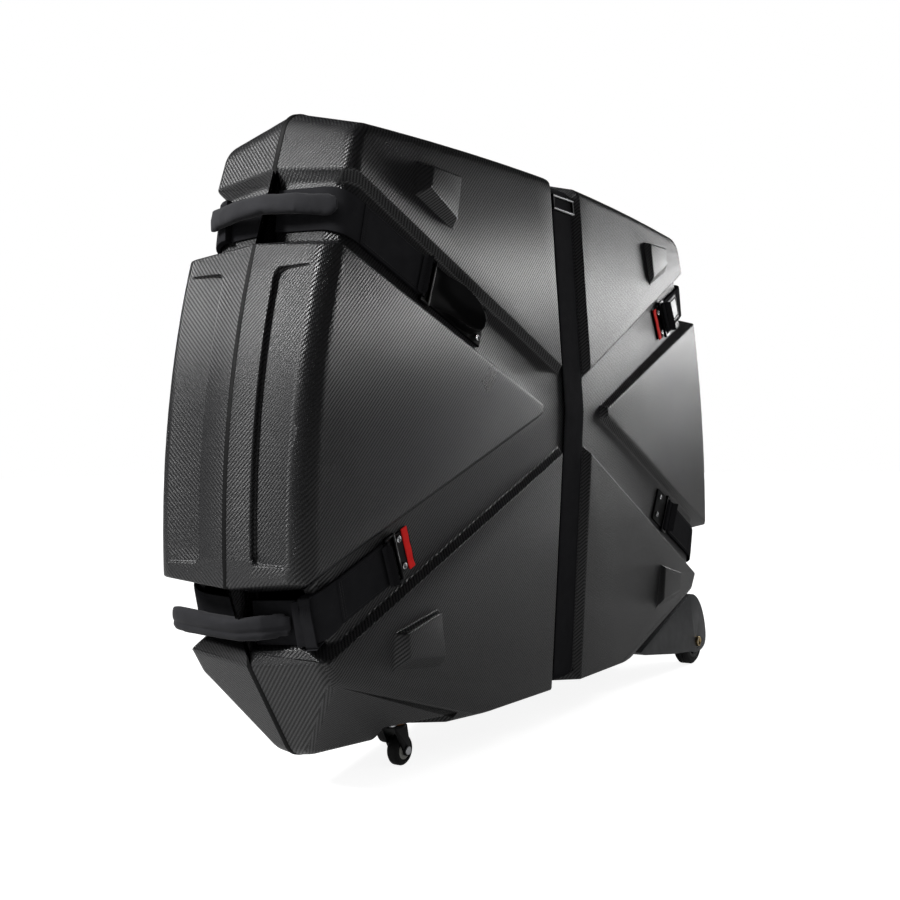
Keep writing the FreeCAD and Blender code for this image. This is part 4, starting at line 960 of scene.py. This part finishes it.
def scoopedCup(node):
    place, size = seatsOf(node)[0]
    length, width = size[:2]
    bm = bmesh.new()
    bmesh.ops.create_grid(bm, x_segments=cupForm["columns"], y_segments=cupForm["rows"], size=0.5)
    for vert in bm.verts:
        u, v = vert.co.x + 0.5, vert.co.y * 2
        vert.co = Vector(((u - 0.5) * length, v * width / 2, cupForm["base"] + cupRise(u, v)))
    rim = [e for e in bm.edges if e.is_boundary]
    grown = bmesh.ops.extrude_edge_only(bm, edges=rim)
    for vert in [g for g in grown["geom"] if isinstance(g, bmesh.types.BMVert)]:
        vert.co.z = 0
    bmesh.ops.holes_fill(bm, edges=[e for e in bm.edges if e.is_boundary], sides=0)
    bmesh.ops.transform(bm, matrix=place, verts=bm.verts)
    bmesh.ops.recalc_face_normals(bm, faces=bm.faces)
    roundOff(bm, rim, cupForm["edge"])
    makePiece(bm, plainName(node), bodyOf(node), fittingPlastic, [node], crease=50)


for node in ("upper_left_cup", "upper_right_cup"):
    scoopedCup(node)

# Pull tabs: a strip of red tape, hemmed, with a slight wave

tabForm = {
    "columns": 18, "rows": 6, "wave": 0.35 * mm, "waves": 2.5, "edge": 0.6 * mm, "hem": 0.6 * mm,
    "hemFrom": 0.42, "sharper": 60,
}


def tapeTab(bm, place, size):
    length, width, thick = size
    made = bmesh.ops.create_grid(
        bm, x_segments=tabForm["columns"], y_segments=tabForm["rows"], size=0.5)["verts"]
    faces = list({f for v in made for f in v.link_faces})
    grown = bmesh.ops.extrude_face_region(bm, geom=faces, use_keep_orig=True)
    top = {g for g in grown["geom"] if isinstance(g, bmesh.types.BMVert)}
    layer = bm.loops.layers.uv.verify()
    whole = set(made) | top
    for face in {f for v in whole for f in v.link_faces}:
        for loop in face.loops:
            loop[layer].uv = (loop.vert.co.x * length, loop.vert.co.y * width)
    for vert in whole:
        u, v = vert.co.x, vert.co.y
        ripple = tabForm["wave"] * math.sin(2 * math.pi * tabForm["waves"] * u)
        hem = tabForm["hem"] if abs(u) > tabForm["hemFrom"] else 0
        height = thick - tabForm["hem"] - tabForm["wave"] + ripple + hem if vert in top else 0
        vert.co = Vector((u * length, v * width, height))
    bmesh.ops.transform(bm, matrix=place, verts=list(whole))


for half in ("near", "far"):
    node = half + "_pull_tabs"
    tabs = bmesh.new()
    tabs.loops.layers.uv.new("laid")
    for place, size in seatsOf(node):
        tapeTab(tabs, place, size)
    bmesh.ops.recalc_face_normals(tabs, faces=tabs.faces)
    edges = [e for e in tabs.edges if e.calc_face_angle(0) > math.radians(tabForm["sharper"])]
    roundOff(tabs, edges, tabForm["edge"])
    makePiece(tabs, plainName(node), bodyOf(node), redTape, [node], crease=50)
print("cups and tabs")

# Wheels: half a section, mirrored, is spun about the axle; each pair is radius and half width in mm

rearTyre = {
    "section": ((31, 13), (38.5, 13), (43, 9), (43, 4.8), (41.4, 4.4), (41.4, 3.0), (43, 2.6)),
    "round": 0.8 * mm, "turns": 96,
}
rollerTyre = {"section": ((12, 8.5), (16.5, 8.5), (20, 5.0)), "round": 1.2 * mm, "turns": 64}
rollerHub = {
    "section": ((3.4, 8.0), (6.0, 8.0), (6.8, 6.2), (10.2, 6.2), (11.0, 7.6), (12, 7.6)),
    "round": 0.3 * mm, "turns": 64,
}


def spunRing(form, centre):
    half = [Vector((radius, across, 0)) * mm for radius, across in form["section"]]
    bm = bmesh.new()
    whole = half + [Vector((p.x, -p.y, 0)) for p in reversed(half)]
    verts = [bm.verts.new(p) for p in whole]
    for pair in zip(verts, verts[1:] + verts[:1]):
        bm.edges.new(pair)
    roundOff(bm, verts, form["round"], 3, "VERTICES")
    bmesh.ops.spin(bm, geom=list(bm.verts) + list(bm.edges), cent=(0, 0, 0), axis=(0, 1, 0),
                   angle=2 * math.pi, steps=form["turns"], use_merge=True)
    bmesh.ops.remove_doubles(bm, verts=bm.verts, dist=1e-6)
    bmesh.ops.recalc_face_normals(bm, faces=bm.faces)
    bmesh.ops.translate(bm, vec=centre, verts=bm.verts)
    return bm


def middleOf(node):
    low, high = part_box(node)
    return (Vector(low) + Vector(high)) / 2


for half in ("near", "far"):
    tyre, roller = half + "_rear_tyre", half + "_caster_wheel"
    tread = spunRing(rearTyre, middleOf(tyre))
    makePiece(tread, plainName(tyre), bodyOf(tyre), tyreRubber, [tyre], crease=40)
    ring = spunRing(rollerTyre, middleOf(roller))
    makePiece(ring, plainName(roller), bodyOf(roller), rollerRubber, [roller], crease=40)
    core = spunRing(rollerHub, middleOf(roller))
    makePiece(core, half + "CasterCore", bodyOf(roller), rollerNylon, crease=40)
print("wheels")

# Padding in the halves: quilted foam under cloth

foamForm = {
    "voxel": 11 * mm, "shrink": 5.0 * mm, "pressure": 3.0, "frames": 12, "cap": 4.5 * mm,
    "channel": 145 * mm, "channelDepth": 4.0 * mm, "channelWidth": 9 * mm, "facing": 0.3,
}


def quilted(node):
    bm = mergedCopy(node)
    bm.normal_update()
    moves = {v: v.normal * foamForm["shrink"] for v in bm.verts}
    for vert, move in moves.items():
        vert.co -= move
    pad = puffed(bm, foamForm)
    pad.normal_update()
    inward = -1 if bodyOf(node) == "far_half" else 1
    centre = middleOf(node)
    for vert in pad.verts:
        if vert.normal.y * inward < foamForm["facing"]:
            continue
        for offset in (vert.co.x - centre.x, vert.co.z - centre.z):
            gap = (offset + foamForm["channel"] / 2) % foamForm["channel"] - foamForm["channel"] / 2
            vert.co.y -= inward * foamForm["channelDepth"] * math.exp(-(gap / foamForm["channelWidth"]) ** 2)
    piece = makePiece(pad, plainName(node), bodyOf(node), foamCloth, [node], crease=60)


for node in ("near_foam", "far_foam"):
    quilted(node)
print("padding")

# Stage and light

studio = {
    "floorSize": 40.0, "floor": "#a8a8a8", "floorGlow": 0.88, "farGlow": 1.0, "fade": (0.9, 3.2),
    "world": 0.5, "worldShine": 0.04, "floorShine": 0.24,
}
# name, place, target, width in metres and power in watts
lamps = [
    ("sideGlow", (1.6, -0.5, 0.9), (0.0, -0.1, 0.6), 0.3, 6.0),
    ("rearGlow", (2.6, -0.3, 0.9), (0.3, -0.1, 0.55), 0.4, 5.0),
    ("endGlow", (-1.9, 1.15, 1.65), (-0.55, 0.0, 0.6), 0.5, 58),
    ("topGlow", (-1.65, 0.9, 2.15), (-0.5, 0.0, 0.75), 0.5, 30),
]


def litShare(tree, share):
    # full to the eye and through clear things, a set share in reflections
    path = addNode(tree, "ShaderNodeLightPath")
    shiny = addNode(tree, "ShaderNodeMath", {
        0: path.outputs["Is Glossy Ray"], 1: share}, operation="MULTIPLY").outputs[0]
    direct = addNode(tree, "ShaderNodeMath", {
        0: path.outputs["Is Camera Ray"],
        1: path.outputs["Is Transmission Ray"]}, operation="MAXIMUM").outputs[0]
    return addNode(tree, "ShaderNodeMath", {0: direct, 1: shiny}, operation="MAXIMUM").outputs[0]


def studioFloor():
    bm = bmesh.new()
    bmesh.ops.create_grid(bm, x_segments=1, y_segments=1, size=studio["floorSize"] / 2)
    mesh = bpy.data.meshes.new("floor")
    bm.to_mesh(mesh)
    bm.free()
    floor = bpy.data.objects.new("floor", mesh)
    scene.collection.objects.link(floor)
    # painted board: pale and dull, brightening to white away from the case
    material, tree, shader = newMaterial("paleFloor", {
        "Base Color": linear(studio["floor"]), "Roughness": 0.9, "Specular IOR Level": 0.1,
        "Emission Color": (1, 1, 1, 1)})
    seen = litShare(tree, studio["floorShine"])
    place = addNode(tree, "ShaderNodeTexCoord").outputs["Object"]
    reach = addNode(tree, "ShaderNodeVectorMath", {0: place}, operation="LENGTH").outputs["Value"]
    level = addNode(tree, "ShaderNodeMapRange", {
        "Value": reach, "From Min": studio["fade"][0], "From Max": studio["fade"][1],
        "To Min": studio["floorGlow"], "To Max": studio["farGlow"]},
        interpolation_type="SMOOTHSTEP").outputs[0]
    glow = addNode(tree, "ShaderNodeMath", {0: seen, 1: level}, operation="MULTIPLY").outputs[0]
    tree.links.new(glow, shader.inputs["Emission Strength"])
    mesh.materials.append(material)


def studioLight():
    world = bpy.data.worlds.new("studio")
    world.use_nodes = True
    scene.world = world
    tree = world.node_tree
    # dull surfaces are filled more than reflections are
    path = addNode(tree, "ShaderNodeLightPath")
    fill = addNode(tree, "ShaderNodeMapRange", {
        "Value": path.outputs["Is Glossy Ray"],
        "To Min": studio["world"], "To Max": studio["worldShine"]}).outputs[0]
    level = addNode(tree, "ShaderNodeMath", {
        0: litShare(tree, studio["worldShine"]), 1: fill}, operation="MAXIMUM")
    tree.nodes["Background"].inputs["Color"].default_value = (1, 1, 1, 1)
    tree.links.new(level.outputs[0], tree.nodes["Background"].inputs["Strength"])
    for name, place, target, width, power in lamps:
        data = bpy.data.lights.new(name, "AREA")
        data.size = width
        data.energy = power
        lamp = bpy.data.objects.new(name, data)
        scene.collection.objects.link(lamp)
        lamp.location = place
        lamp.rotation_mode = "QUATERNION"
        lamp.rotation_quaternion = (Vector(target) - Vector(place)).to_track_quat("-Z", "Y")


studioFloor()
studioLight()

print("scene ready")
